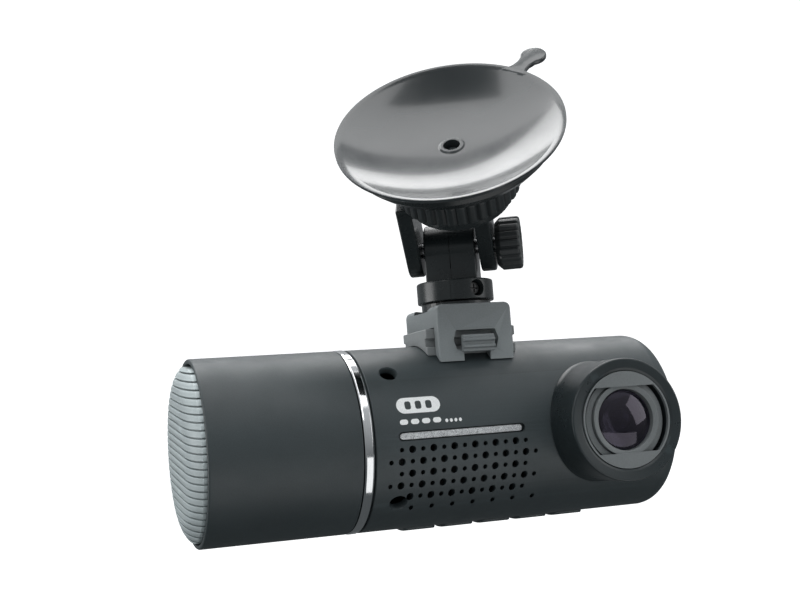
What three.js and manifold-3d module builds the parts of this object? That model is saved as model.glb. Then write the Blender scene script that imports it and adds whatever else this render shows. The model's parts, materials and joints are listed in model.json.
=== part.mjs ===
// A dual-lens dash camera on a suction mount, as an assembly of separate parts, in millimetres.
// X runs along the round body towards its lens end, -Y is the way the front lens looks, +Z is up.
// The design frame has the body's axis on X; the finished group is moved so its box is centred.
import * as THREE from "three";
import { mergeVertices } from "three/addons/utils/BufferGeometryUtils.js";
import Module from "manifold-3d";

const wasm = await Module();
wasm.setup();

// ---- Driving dimensions -------------------------------------------------------------------
const GAP = 0.3; // clearance between neighbouring parts
const WALL = 1.8;

const BODY_RADIUS = 22.5;
const SHELL_RIGHT = 63.3; // lens end of the body
const BORE_RADIUS = BODY_RADIUS - WALL;
const RING_LEFT = -20.3; // chrome ring between the turning barrel and the main body
const RING_RIGHT = -17.9;
const BARREL_LEFT = -56.6; // rim round the barrel's domed end cap
const SHELL_LEFT = RING_RIGHT + GAP;
const BARREL_RIGHT = RING_LEFT - GAP;
const SPLIT_Y = 8; // plane where the rear cover meets the front shell

const CAP = { radius: 21.1, apex: -60.1, edge: -57.4, squareness: 8 }; // domed end of the barrel
const RIB = { count: 25, pitch: 1.7, depth: 0.4, tilt: 7 };

const LENS_X = 42;
const LENS_Z = 0.5;
const LENS_FRONT = -33.6; // Y of the lens housing's front face
const HOUSING_RADIUS = 14.7;
const HOUSING_BORE = 11.7;
const MASK_FLAT = 7.9; // half height of the letterbox opening
const GLASS_RADIUS = 7.1;
const GLASS_SEAT = 7.3;

const HOLE_PITCH_X = 2.63; // speaker grille
const HOLE_PITCH_Z = 2.77;
const GRILLE_LEFT = -11.4;
const GRILLE_TOP = -2.6;
const BIG_HOLE = 0.88;
const SMALL_HOLE = 0.56;
const GRILLE_COLUMNS = 13;

const SHELL_SCREW_X = -11.4;
const SHELL_SCREW_ANGLES = [44, -42]; // degrees above the forward direction
const STRIP = { left: -11.6, right: 19.8, z: 0.5, height: 1.7 };

const SCREEN = { x: 13, face: 18.4, halfWidth: 16.5, halfHeight: 11 };
const BUTTON_COUNT = 5;
const BUTTON_PITCH = 10.2;
const BUTTON_FIRST_X = -1.7;
const BUTTON_LENGTH = 9;
const BUTTON_WIDTH = 6.4;
const BUTTON_PROUD = 0.6;

const CLIP = { x: 12.6, y: -3, width: 19.8, depth: 23.2, bottom: 17.2, top: 31.8 };
const CHANNEL_HALF = 8.95;
const RAIL = { left: 0.6, right: 24.4, half: 8.6, top: 26 };
const COLLAR = { radius: 9.74, bottom: 33, top: 38.35, bore: 6 };
const STEM_HALF_WIDTH = 6.5;
const KNUCKLE_RADIUS = 6.2;

const PAN = THREE.MathUtils.degToRad(-28.2);
const TILT = THREE.MathUtils.degToRad(47.5);
const PIVOT_Z = 47.1;
const EAR_INNER = 7.4;
const EAR_OUTER = 11.2;
const EAR_RADIUS = 6.6;
const BOLT_RADIUS = 1.85;
const KNOB = { left: 11.6, right: 17.9, radius: 6.75, teeth: 18 };

const CUP_REACH = 37.2; // tilt axis to the suction rim
const CUP_SIDE = 4.6; // the cup's axis stands this far to the side of the stem's
const CUP_RADIUS = 27.7;
const DISH_DEPTH = 5.5;
const TAB_ANGLE = THREE.MathUtils.degToRad(54);
const LOCK_RING = { radius: 15.3, bore: 10.3, front: -12.4, back: -18.1, teeth: 36 };

const BODY_ROUND = 40; // segments on the round body
const ROUND = 36; // on other large turned parts
const SMALL_ROUND = 16; // on small ones

const X_AXIS = new THREE.Vector3(1, 0, 0);
const FORWARD = new THREE.Vector3(0, -1, 0);
const BACKWARD = new THREE.Vector3(0, 1, 0);
const DOWN = new THREE.Vector3(0, 0, -1);
const Z_AXIS = new THREE.Vector3(0, 0, 1);

// ---- Materials ----------------------------------------------------------------------------
const finish = (color, roughness, metalness = 0) =>
  new THREE.MeshStandardMaterial({ color, roughness, metalness });
const FINISHES = {
  softBlack: () => finish("#343a3d", 0.55),
  ribbedGrey: () => finish("#8b9294", 0.5),
  clipGrey: () => finish("#6f7577", 0.5),
  mountBlack: () => finish("#1c2122", 0.35),
  chrome: () => finish("#d9dcde", 0.12, 1),
  silver: () => finish("#b7bcbd", 0.4, 0.8),
  steel: () => finish("#8e9294", 0.35, 1),
  glossBlack: () => finish("#101315", 0.12),
  rubber: () => finish("#4b5152", 0.25),
  glass: () => finish("#2a2433", 0.05),
  board: () => finish("#1f4d33", 0.6),
  chip: () => finish("#17191a", 0.5),
  battery: () => finish("#9aa0a3", 0.4, 0.4),
};

// ---- Shape helpers ------------------------------------------------------------------------
const radians = THREE.MathUtils.degToRad;

// A closed geometry as a solid that can be joined and cut.
function solid(geometry) {
  const bare = geometry.index ? geometry.toNonIndexed() : geometry.clone();
  for (const name of Object.keys(bare.attributes)) {
    if (name !== "position") bare.deleteAttribute(name);
  }
  const merged = mergeVertices(bare, 1e-4);
  const triangles = [];
  for (let i = 0; i < merged.index.count; i += 3) {
    const [a, b, c] = [0, 1, 2].map((k) => merged.index.getX(i + k));
    if (a !== b && b !== c && c !== a) triangles.push(a, b, c);
  }
  const vertProperties = merged.attributes.position.array;
  const make = (order) =>
    new wasm.Manifold(new wasm.Mesh({ numProp: 3, vertProperties, triVerts: new Uint32Array(order) }));
  const made = make(triangles);
  return made.volume() >= 0 ? made : make(triangles.slice().reverse());
}

function geometryOf(manifold) {
  const mesh = manifold.getMesh();
  const geometry = new THREE.BufferGeometry();
  geometry.setAttribute("position", new THREE.BufferAttribute(mesh.vertProperties, 3));
  geometry.setIndex(new THREE.BufferAttribute(mesh.triVerts, 1));
  return geometry;
}

const join = (...shapes) => geometryOf(shapes.map(solid).reduce((whole, next) => whole.add(next)));
const cut = (base, ...tools) =>
  geometryOf(tools.map(solid).reduce((whole, tool) => whole.subtract(tool), solid(base)));
const common = (a, b) => geometryOf(solid(a).intersect(solid(b)));

// A profile of [radius, height] points turned about Z. It starts and ends on the axis or closes.
function turned(profile, segments = ROUND) {
  const points = profile.map(([radius, height]) => new THREE.Vector2(radius, height));
  return new THREE.LatheGeometry(points, segments).rotateX(Math.PI / 2);
}

const closed = (profile) => [...profile, profile[0]];
const disc = (radius, low, high, segments = ROUND) =>
  turned([[0, low], [radius, low], [radius, high], [0, high]], segments);
const washer = (inner, outer, low, high, segments = ROUND) =>
  turned(closed([[inner, low], [outer, low], [outer, high], [inner, high]]), segments);

function block([x0, x1], [y0, y1], [z0, z1]) {
  const box = new THREE.BoxGeometry(x1 - x0, y1 - y0, z1 - z0);
  return box.translate((x0 + x1) / 2, (y0 + y1) / 2, (z0 + z1) / 2);
}

const around = (middle, half) => [middle - half, middle + half];

// Turns a shape made along +Z so that it points along a direction.
function aim(geometry, direction) {
  return geometry.applyQuaternion(new THREE.Quaternion().setFromUnitVectors(Z_AXIS, direction));
}

// The direction that looks out of the body, an angle in degrees above straight ahead.
const outward = (degrees) =>
  new THREE.Vector3(0, -Math.cos(radians(degrees)), Math.sin(radians(degrees)));

function extruded(shape, low, high, curveSegments = 6) {
  const options = { depth: high - low, bevelEnabled: false, curveSegments };
  return new THREE.ExtrudeGeometry(shape, options).translate(0, 0, low);
}

// A rectangle with round corners, centred on the origin.
function roundedRectangle(width, height, corner) {
  const [w, h] = [width / 2, height / 2];
  const shape = new THREE.Shape();
  shape.moveTo(corner - w, -h);
  shape.absarc(w - corner, corner - h, corner, -Math.PI / 2, 0);
  shape.absarc(w - corner, h - corner, corner, 0, Math.PI / 2);
  shape.absarc(corner - w, h - corner, corner, Math.PI / 2, Math.PI);
  shape.absarc(corner - w, corner - h, corner, Math.PI, Math.PI * 1.5);
  return shape;
}

// A round outline with straight-sided teeth.
function toothed(radius, depth, teeth) {
  const points = [];
  for (let i = 0; i < teeth * 2; i++) {
    const angle = (i / (teeth * 2)) * Math.PI * 2;
    const r = i % 2 ? radius - depth : radius;
    points.push(new THREE.Vector2(r * Math.cos(angle), r * Math.sin(angle)));
  }
  return new THREE.Shape(points);
}

// A quarter-round corner of a turned profile, from one angle to another.
function corner(radius, centre, from, to, steps = 4) {
  return Array.from({ length: steps + 1 }, (_, i) => {
    const angle = radians(from + ((to - from) * i) / steps);
    return [centre[0] + radius * Math.cos(angle), centre[1] + radius * Math.sin(angle)];
  });
}

const bodyCylinder = (radius) => aim(disc(radius, -80, 80, BODY_ROUND), X_AXIS);

// ---- Assembly -----------------------------------------------------------------------------
const dashCamera = new THREE.Group();
const mount = new THREE.Group(); // turns with the pan joint: X to the side, Z up the stem
mount.position.set(CLIP.x, CLIP.y, 0);
mount.rotation.z = PAN;
const arm = new THREE.Group(); // origin on the tilt axis, Z along the suction cup's axis
arm.position.z = PIVOT_Z;
arm.rotation.x = TILT;
const cup = new THREE.Group(); // origin in the middle of the suction rim's plane
cup.position.set(CUP_SIDE, 0, CUP_REACH);
dashCamera.add(mount);
mount.add(arm);
arm.add(cup);

function place(parent, name, geometry, material) {
  const mesh = new THREE.Mesh(geometryOf(solid(geometry)), material);
  mesh.name = name;
  parent.add(mesh);
}

// ---- Suction cup and its lock -------------------------------------------------------------
function suctionCup() {
  const face = [[2.2, -DISH_DEPTH], [12, 0.3 - DISH_DEPTH], [19.5, -3], [26.5, 0]];
  const back = [[CUP_RADIUS, 0], [CUP_RADIUS, -0.8], [26.2, -1.7], [20, -4.9], [12, -7.3], [6, -8]];
  const boss = [[6, -12.6], [2.2, -12.6]];
  const dish = turned(closed([...boss, ...face, ...back]));
  const tab = new THREE.Shape();
  tab.moveTo(26.5, -2.9);
  tab.lineTo(31, -2.6);
  tab.absarc(35.2, 0, 3.2, radians(-130), radians(130));
  tab.lineTo(31, 2.6);
  tab.lineTo(26.5, 2.9);
  return join(dish, extruded(tab, -1.5, -0.1, 5).rotateZ(TAB_ANGLE));
}

function backingDome() {
  const front = [[6.4, -8.5], [12, -7.8], [20, -5.4], [24.4, -3.2]];
  const back = [[24.8, -4.4], [22.5, -7], [16, -10.9], [12, -12.1], [6.4, -12.1]];
  return turned(closed([...front, ...back]));
}

const lockRing = () => {
  const grip = extruded(toothed(LOCK_RING.radius, 0.5, LOCK_RING.teeth), LOCK_RING.back, LOCK_RING.front);
  return cut(grip, disc(LOCK_RING.bore, -25, 0));
};

// The pin pulls the middle of the cup back; its plate slides inside the fork's hub.
const cupPin = () =>
  turned([[0, -14.6], [7.6, -14.6], [7.6, -13.2], [1.8, -13.2], [1.8, -7.2], [1.2, -6.6], [0, -6.6]], 24);

// The fork's base, hub and two ears, in the arm's frame.
function fork() {
  const base = CUP_REACH + LOCK_RING.back - GAP;
  const outline = (half) => {
    const shape = new THREE.Shape();
    shape.moveTo(half, base);
    shape.lineTo(-half, base);
    shape.absarc(0, 0, half, Math.PI, Math.PI * 2);
    return shape;
  };
  const ear = (x) =>
    extruded(outline(EAR_RADIUS), x, x + EAR_OUTER - EAR_INNER, 12)
      .rotateX(Math.PI / 2)
      .rotateZ(Math.PI / 2);
  const hub = washer(8, LOCK_RING.bore - GAP, base - 1, CUP_REACH + LOCK_RING.front)
    .translate(CUP_SIDE, 0, 0);
  const plate = disc(13, base - 3, base).translate(CUP_SIDE, 0, 0);
  const bridge = block([-EAR_OUTER, EAR_OUTER], [-EAR_RADIUS, EAR_RADIUS], [base - 3, base]);
  const body = join(ear(EAR_INNER), ear(-EAR_OUTER), plate, hub, bridge);
  const bore = aim(disc(BOLT_RADIUS + GAP, -20, 20, SMALL_ROUND), X_AXIS);
  const headSeat = aim(disc(3.9, -EAR_OUTER - 1, 1.9 - EAR_OUTER, SMALL_ROUND), X_AXIS);
  return cut(body, bore, headSeat);
}

// ---- Tilt clamp ---------------------------------------------------------------------------
function clampBolt() {
  const head = 0.4 - EAR_OUTER;
  const shoulder = head + 1.2;
  const profile = [
    [0, head], [3.5, head], [3.5, shoulder], [BOLT_RADIUS, shoulder], [BOLT_RADIUS, 14], [0, 14],
  ];
  return aim(turned(profile, 20), X_AXIS);
}

function clampKnob() {
  const grip = extruded(toothed(KNOB.radius, 0.45, KNOB.teeth), KNOB.left, KNOB.right);
  const chamfer = turned([[0, KNOB.left], [5.6, KNOB.left], [7, KNOB.left + 1.6], [7, KNOB.right - 0.7],
    [6.2, KNOB.right], [0, KNOB.right]], 36);
  const pocket = disc(4.2, KNOB.left - 1, KNOB.left + 2.9, SMALL_ROUND);
  return aim(cut(common(grip, chamfer), pocket), X_AXIS);
}

function clampNut() {
  const hexagon = disc(3.8, KNOB.left + 0.3, KNOB.left + 2.4, 6);
  return aim(cut(hexagon, disc(BOLT_RADIUS + GAP, 0, 20, SMALL_ROUND)), X_AXIS);
}

// ---- Stem with its collar -----------------------------------------------------------------
const COLLAR_SCREW_TURN = radians(42);
const COLLAR_SCREW_Z = 35.8;

function stem() {
  const depth = 5.75;
  const post = block([-STEM_HALF_WIDTH, STEM_HALF_WIDTH], [-depth, depth], [COLLAR.top - 1, PIVOT_Z]);
  const knuckle = aim(disc(KNUCKLE_RADIUS, -STEM_HALF_WIDTH, STEM_HALF_WIDTH, 32), X_AXIS);
  const collar = disc(COLLAR.radius, COLLAR.bottom, COLLAR.top);
  const body = join(post, knuckle.translate(0, 0, PIVOT_Z), collar);
  const bore = disc(COLLAR.bore, COLLAR.bottom - 1, COLLAR.top - 0.6, 32);
  const boltHole = aim(disc(BOLT_RADIUS + GAP, -20, 20, SMALL_ROUND), X_AXIS).translate(0, 0, PIVOT_Z);
  const screwHole = aim(disc(1.9, 5, 12, 16), FORWARD).rotateZ(COLLAR_SCREW_TURN);
  return cut(body, bore, boltHole, screwHole.translate(0, 0, COLLAR_SCREW_Z));
}

const collarScrew = () =>
  aim(disc(1.55, COLLAR.bore + 0.4, 8.2, 12), FORWARD)
    .rotateZ(COLLAR_SCREW_TURN)
    .translate(0, 0, COLLAR_SCREW_Z);

// ---- Quick-release clip -------------------------------------------------------------------
// Shapes here are made about the clip's own upright axis.
const WINDOW = { halfWidth: 6, low: 20.4, high: 25.2, slotHalf: 3.5 };
const POST_RECESS = 1.2;

function tabWindow() {
  const { halfWidth, low, high, slotHalf } = WINDOW;
  const middle = (low + high) / 2;
  const outline = new THREE.Shape(
    [
      [slotHalf, CLIP.bottom - 1], [slotHalf, low], [halfWidth - 0.8, low], [halfWidth, middle],
      [halfWidth - 0.8, high], [0.8 - halfWidth, high], [-halfWidth, middle], [0.8 - halfWidth, low],
      [-slotHalf, low], [-slotHalf, CLIP.bottom - 1],
    ].map(([x, z]) => new THREE.Vector2(x, z)),
  );
  return extruded(outline, 8.5, 16).rotateX(Math.PI / 2);
}

function clipFrame() {
  const height = CLIP.top - CLIP.bottom;
  const profile = roundedRectangle(CLIP.width, CLIP.depth, 1.2);
  const shell = extruded(profile, CLIP.bottom, CLIP.top, 3);
  // Rounds the long top edges, seen from the end.
  const crown = extruded(roundedRectangle(CLIP.depth, height * 2, 2.2), -20, 20, 4)
    .rotateX(Math.PI / 2)
    .rotateZ(Math.PI / 2)
    .translate(0, 0, CLIP.bottom);
  const channel = block([-20, 20], [-CHANNEL_HALF, CHANNEL_HALF], [CLIP.bottom - 1, RAIL.top + GAP]);
  const recess = disc(11, CLIP.top - POST_RECESS, CLIP.top + 1);
  const postHole = disc(3.4, RAIL.top - 1, CLIP.top, SMALL_ROUND);
  const saddle = bodyCylinder(BODY_RADIUS + 0.4).translate(0, -CLIP.y, 0);
  const lip = (y0, y1) => block([-CLIP.width / 2, CLIP.width / 2], [y0, y1], [22, 23.2]);
  const hollow = cut(common(shell, crown), channel, recess, postHole, saddle);
  const lips = [lip(CHANNEL_HALF - 1.1, CHANNEL_HALF + 0.5), lip(-CHANNEL_HALF - 0.5, 1.1 - CHANNEL_HALF)];
  return cut(join(hollow, ...lips), tabWindow()).translate(CLIP.x, CLIP.y, 0);
}

// The post that the collar turns on, with a flange on the clip's roof and a tail through it.
function panPost() {
  const floor = CLIP.top - POST_RECESS;
  return turned([
    [0, RAIL.top + 0.8], [3, RAIL.top + 0.8], [3, floor + GAP], [8.8, floor + GAP],
    [8.8, COLLAR.bottom - GAP], [COLLAR.bore - GAP, COLLAR.bottom - GAP],
    [COLLAR.bore - GAP, COLLAR.top - 1], [0, COLLAR.top - 1],
  ], 32).translate(CLIP.x, CLIP.y, 0);
}

function releaseTab() {
  const face = -CLIP.depth / 2;
  const head = block([-4.2, 4.2], [face - 2.2, face - GAP], [19.7, 23.9]);
  const arm = block([-3, 3], [face - 1, face + 2.2], [21, 23.6]);
  return join(head, arm).translate(CLIP.x, CLIP.y, 0);
}

function cameraRail() {
  const bar = block([RAIL.left, RAIL.right], around(CLIP.y, RAIL.half), [15, RAIL.top]);
  const groove = (side) => {
    const y = CLIP.y + side * RAIL.half;
    return block([-5, 30], around(y, 1.2), [21.6, 23.6]);
  };
  return cut(bar, bodyCylinder(BODY_RADIUS + GAP), groove(1), groove(-1));
}

// ---- Main body shells ---------------------------------------------------------------------
// The whole round housing, open at the ring, closed and rounded at the lens end.
function housing() {
  const rounding = 3.6;
  const end = SHELL_RIGHT;
  const centre = [BODY_RADIUS - rounding, end - rounding];
  const profile = [
    [BORE_RADIUS, SHELL_LEFT],
    [BODY_RADIUS, SHELL_LEFT],
    ...corner(rounding, centre, 0, 90, 4),
    [0, end],
    [0, end - 2],
    ...corner(rounding - WALL, centre, 90, 0, 2).map(([r, z]) => [r, z - 0.2]),
  ];
  return aim(turned(closed(profile), BODY_ROUND), X_AXIS);
}

const LEFT_OF = -30;
const RIGHT_OF = 70;

function speakerHoles() {
  const holes = [];
  const drill = (x, z, radius) => {
    const sides = radius === BIG_HOLE ? 5 : 4;
    holes.push(aim(disc(radius, 10, 26, sides), FORWARD).translate(x, 0, z));
  };
  for (let row = 0; row < 5; row++) {
    for (let column = 0; column < GRILLE_COLUMNS; column++) {
      const besideScrew = row === 4 && column === 0;
      const radius = (row + column) % 2 ? BIG_HOLE : SMALL_HOLE;
      if (!besideScrew) drill(GRILLE_LEFT + column * HOLE_PITCH_X, GRILLE_TOP - row * HOLE_PITCH_Z, radius);
    }
  }
  for (const row of [1, 3]) {
    for (const column of [-1, GRILLE_COLUMNS]) {
      drill(GRILLE_LEFT + column * HOLE_PITCH_X, GRILLE_TOP - row * HOLE_PITCH_Z, SMALL_HOLE);
    }
  }
  for (let i = 0; i < 7; i++) {
    drill(GRILLE_LEFT + (1.35 + 2 * i) * HOLE_PITCH_X, GRILLE_TOP - 5 * HOLE_PITCH_Z, SMALL_HOLE);
  }
  return holes;
}

const stripShape = (grow, inner, outer) => {
  const length = STRIP.right - STRIP.left + 2 * grow;
  const height = STRIP.height + 2 * grow;
  return aim(extruded(roundedRectangle(length, height, height / 2 - 0.01), inner, outer, 4), FORWARD)
    .translate((STRIP.left + STRIP.right) / 2, 0, STRIP.z);
};

const buttonX = (index) => BUTTON_FIRST_X + index * BUTTON_PITCH;
const buttonShape = (index, grow, inner, outer) =>
  aim(
    extruded(
      roundedRectangle(BUTTON_LENGTH + 2 * grow, BUTTON_WIDTH + 2 * grow, 2), inner, outer, 3,
    ),
    DOWN,
  ).translate(buttonX(index), 0, 0);
const everyButton = (make) => Array.from({ length: BUTTON_COUNT }, (_, index) => make(index));

const USB = { x: 40, halfLength: 4.2, halfWidth: 1.9, low: 13.6, high: 21.8 };
const CARD = { y: 3.65, halfWidth: 5.5, left: 48.6, right: SHELL_RIGHT + 0.8 };

const atEachScrew = (make) =>
  SHELL_SCREW_ANGLES.map((angle) => aim(make(), outward(angle)).translate(SHELL_SCREW_X, 0, 0));

function frontShell() {
  const front = common(housing(), block([LEFT_OF, RIGHT_OF], [-40, SPLIT_Y - GAP / 2], [-40, 40]));
  const bosses = atEachScrew(() => disc(3.2, 13.5, BODY_RADIUS - 1, 16));
  const recesses = atEachScrew(() => disc(2, 16, 30, 16));
  const pilots = atEachScrew(() => disc(1, 10, 20, 10));
  const lensHole = aim(disc(13.2, 10, 30), FORWARD).translate(LENS_X, 0, LENS_Z);
  const usbHole = block(around(USB.x, USB.halfLength + GAP), around(0, USB.halfWidth + GAP), [12, 30]);
  const cardHole = block([50, 70], around(CARD.y, 0.75), around(0, CARD.halfWidth + GAP));
  const buttonHoles = everyButton((i) => buttonShape(i, GAP, 10, 30));
  const stripSlot = stripShape(0.2, BODY_RADIUS - 1.2, 30);
  const openings = [lensHole, usbHole, cardHole, stripSlot, ...buttonHoles, ...speakerHoles()];
  return cut(join(front, ...bosses), ...recesses, ...pilots, ...openings);
}

function rearCover() {
  const { x, face, halfWidth, halfHeight } = SCREEN;
  const rear = common(housing(), block([LEFT_OF, RIGHT_OF], [SPLIT_Y + GAP / 2, 40], [-40, 40]));
  const backing = common(
    block(around(x, halfWidth + 4), [face - 2.2, face + 0.5], around(0, 14.5)),
    bodyCylinder(BODY_RADIUS - 0.5),
  );
  const flat = block(around(x, halfWidth + 3), [face, 30], [-30, 30]);
  const opening = block(around(x, halfWidth), [5, 30], around(0, halfHeight));
  const paneSeat = block(around(x, halfWidth + 1), [face - 1.2, 30], around(0, halfHeight + 1));
  return cut(join(rear, backing), flat, opening, paneSeat);
}

const displayWindow = () => {
  const { x, face, halfWidth, halfHeight } = SCREEN;
  return block(around(x, halfWidth + 0.7), [face - 0.9, face], around(0, halfHeight + 0.7));
};
const displayPanel = () => block(around(SCREEN.x, 17.5), [13.4, 15.8], around(0, 11.9));

// ---- Front lens ---------------------------------------------------------------------------
// Turned shapes here run along -Y, so a height of 20 stands 20 in front of the body's axis.
const FRONT = -LENS_FRONT;
const lookForward = (geometry) => aim(geometry, FORWARD).translate(LENS_X, 0, LENS_Z);

function lensHousing() {
  const tube = lookForward(turned(closed([
    [HOUSING_BORE, 12], [HOUSING_RADIUS, 12], [HOUSING_RADIUS, FRONT - 1], [HOUSING_RADIUS - 0.9, FRONT],
    [HOUSING_BORE + 0.6, FRONT], [HOUSING_BORE, FRONT - 0.6],
  ])));
  const spigot = lookForward(washer(HOUSING_BORE, 12.9, 14, 26));
  return join(cut(tube, bodyCylinder(BODY_RADIUS + GAP)), spigot);
}

function lensMask() {
  const plate = disc(HOUSING_BORE - GAP, FRONT - 3.2, FRONT - 0.4);
  const opening = common(disc(10.2, 20, 40), block([-20, 20], around(0, MASK_FLAT), [20, 40]));
  return lookForward(cut(plate, opening));
}

const lensBarrel = () => lookForward(turned([
  [0, 14], [HOUSING_BORE - GAP, 14], [HOUSING_BORE - GAP, FRONT - 3.6], [10, FRONT - 3.6],
  [9.2, FRONT - 5], [7.6, FRONT - 5], [7.6, FRONT - 1.6], [GLASS_SEAT, FRONT - 1.6],
  [GLASS_SEAT, FRONT - 4.6], [0, FRONT - 4.6],
], 30));

function frontLens() {
  const domed = corner(11.5, [0, FRONT - 12.1], 52, 90, 3);
  return lookForward(turned([[0, FRONT - 4.2], [GLASS_RADIUS, FRONT - 4.2], ...domed], 30));
}

// ---- Inside the main body -----------------------------------------------------------------
function sensorBoard() {
  const board = block(around(LENS_X, 9), [-12.6, -11.4], around(LENS_Z, 9));
  const sensor = block(around(LENS_X, 4), [-13.6, -12.4], around(LENS_Z, 3));
  return join(board, sensor);
}

function mainBoard() {
  const board = block([-10, 42.5], [1, 2.2], around(0, 13));
  const processor = block([4, 16], [-0.2, 1.2], around(0, 6));
  const memory = block([22, 32], [-0.2, 1.2], around(2, 4.5));
  return join(board, processor, memory);
}

const battery = () => block([-7, 25], [-7.4, -1.4], [-7.6, 11.6]);

function speaker() {
  const frame = extruded(roundedRectangle(24, 13, 6), 14.4, 16.8, 4);
  const cone = extruded(roundedRectangle(20, 9, 4.2), 16.6, 18, 4);
  return aim(join(frame, cone), outward(-25)).translate(5.4, 0, 0);
}

const microphone = () => aim(disc(2, 15.4, 18.2, 14), outward(-16)).translate(24.6, 0, 0);

function buttonBoard() {
  const board = block([-7, 45.5], around(0, 3.5), [-18.4, -17.2]);
  const switches = everyButton((i) => disc(1.6, -19.2, -18.2, 10).translate(buttonX(i), 0, 0));
  return join(board, ...switches);
}

function buttonPad(index) {
  const cap = buttonShape(index, 0, 20.1, BODY_RADIUS + BUTTON_PROUD);
  return common(cap, bodyCylinder(BODY_RADIUS + BUTTON_PROUD));
}

const usbSocket = () => {
  const shell = block(around(USB.x, USB.halfLength), around(0, USB.halfWidth), [USB.low, USB.high]);
  const mouth = block(
    around(USB.x, USB.halfLength - 0.4), around(0, USB.halfWidth - 0.4), [USB.low + 1, 30],
  );
  const tongue = block(around(USB.x, USB.halfLength - 1.2), around(-0.2, 0.4), [USB.low, USB.high - 1]);
  return join(cut(shell, mouth), tongue);
};

function cardSlot() {
  const body = block([CARD.left - 1.4, SHELL_RIGHT - 2.3], [2.4, 4.9], around(0, 7));
  const pocket = block([CARD.left - 0.4, 70], around(CARD.y, 0.7), around(0, CARD.halfWidth + GAP));
  return cut(body, pocket);
}

const memoryCard = () => block([CARD.left, CARD.right], around(CARD.y, 0.4), around(0, CARD.halfWidth));

// ---- Barrel joint and the cabin camera ----------------------------------------------------
const SHAFT_RADIUS = 6;
const alongBody = (geometry) => aim(geometry, X_AXIS);

const chromeRing = () => alongBody(turned(closed([
  [17, RING_LEFT], [BODY_RADIUS - 0.1, RING_LEFT], [BODY_RADIUS + 0.1, RING_LEFT + 0.3],
  [BODY_RADIUS + 0.1, RING_RIGHT - 0.5], [BODY_RADIUS - 0.2, RING_RIGHT], [17, RING_RIGHT],
]), BODY_ROUND));
// A washer round the swivel shaft, its heights measured from the main body's open end.
const roundShaft = (outer, low, high, segments) =>
  alongBody(washer(SHAFT_RADIUS + GAP, outer, SHELL_LEFT + low, SHELL_LEFT + high, segments));
const swivelPlate = () => roundShaft(BORE_RADIUS - GAP, 0, 2.2, ROUND);
const frictionWasher = () => roundShaft(8.8, 2.5, 3.1, 28);
const retainingRing = () => roundShaft(8.4, 3.4, 4.4, 28);
const swivelShaft = () => alongBody(turned(closed([
  [4, BARREL_RIGHT - 3.6], [9, BARREL_RIGHT - 3.6], [9, BARREL_RIGHT - 2.3],
  [SHAFT_RADIUS, BARREL_RIGHT - 2.3], [SHAFT_RADIUS, SHELL_LEFT + 5], [4, SHELL_LEFT + 5],
]), 28));

const CABIN_X = -40;
const lookBackward = (geometry) => aim(geometry, BACKWARD).translate(CABIN_X, 0, 0);
const LAMP_ANGLES = [45, 135, 225, 315];
const LAMP_CIRCLE = 6.9;
const lampShape = (angle, radius, low, high) =>
  disc(radius, low, high, 12).translate(LAMP_CIRCLE, 0, 0).rotateZ(radians(angle));

function barrelShell() {
  const seat = CAP.radius + 0.4;
  const rounding = 0.6;
  const profile = [
    [SHAFT_RADIUS + GAP, BARREL_RIGHT - 2], [BORE_RADIUS, BARREL_RIGHT - 2],
    [BORE_RADIUS, BARREL_LEFT + 2.8], [seat, BARREL_LEFT + 2.8],
    [seat, BARREL_LEFT + 0.3], [seat + 0.3, BARREL_LEFT],
    ...corner(rounding, [BODY_RADIUS - rounding, BARREL_LEFT + rounding], 270, 360, 2),
    [BODY_RADIUS, BARREL_RIGHT], [SHAFT_RADIUS + GAP, BARREL_RIGHT],
  ];
  const cabinHole = lookBackward(disc(9.9, 10, 30, 32));
  return cut(alongBody(turned(closed(profile), BODY_ROUND)), cabinHole);
}

// A flat-topped dome that stands out of the barrel's end, sunk and shrunk a little by an inset.
function capDome(inset) {
  const steps = 5;
  const radius = CAP.radius - inset;
  const back = BARREL_LEFT + 2.5;
  const dome = Array.from({ length: steps + 1 }, (_, i) => {
    const share = i === steps ? 0 : Math.cos(((i / steps) * Math.PI) / 2);
    return [radius * share, CAP.apex + inset + (CAP.edge - CAP.apex) * share ** CAP.squareness];
  });
  return alongBody(turned([[0, back], [radius, back], ...dome]));
}

// The end cap: the dome is crossed by straight ribs.
function barrelEndCap() {
  const ribs = Array.from({ length: RIB.count }, (_, i) => {
    const z = (i - (RIB.count - 1) / 2) * RIB.pitch;
    return block([CAP.apex - 1, BARREL_LEFT], [-25, 25], around(z, RIB.pitch * 0.34));
  });
  return join(capDome(RIB.depth), common(join(...ribs), capDome(0))).rotateX(radians(RIB.tilt));
}

function cabinBezel() {
  const face = 24.2;
  const profile = [
    [5, 15.6], [9.6, 15.6], [9.6, face - 0.8], [8.8, face], [5.6, face], [5, face - 1],
  ];
  const plug = turned(closed(profile), 32);
  const holes = LAMP_ANGLES.map((angle) => lampShape(angle, 1.4, 10, 30));
  return lookBackward(cut(plug, ...holes));
}

const cabinLensBarrel = () => lookBackward(turned([
  [0, 15], [4.7, 15], [4.7, 22.6], [4, 22.6], [4, 21], [0, 21],
], 24));
const cabinLens = () =>
  lookBackward(turned([[0, 21.3], [3.7, 21.3], ...corner(5, [0, 18.4], 44, 90, 3)], 24));
const cabinBoard = () => lookBackward(disc(8.6, 13.4, 14.6, 24));
const lamp = (angle) => lookBackward(lampShape(angle, 1.1, 15, 23.9));

const shellScrew = (index) => {
  const profile = [[0, 11], [0.7, 11], [0.7, 16.3], [1.7, 16.3], [1.7, 17.4], [0, 17.4]];
  return aim(turned(profile, 14), outward(SHELL_SCREW_ANGLES[index])).translate(SHELL_SCREW_X, 0, 0);
};

const statusStrip = () => stripShape(-0.1, BODY_RADIUS - 0.9, BODY_RADIUS - 0.2);

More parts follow.
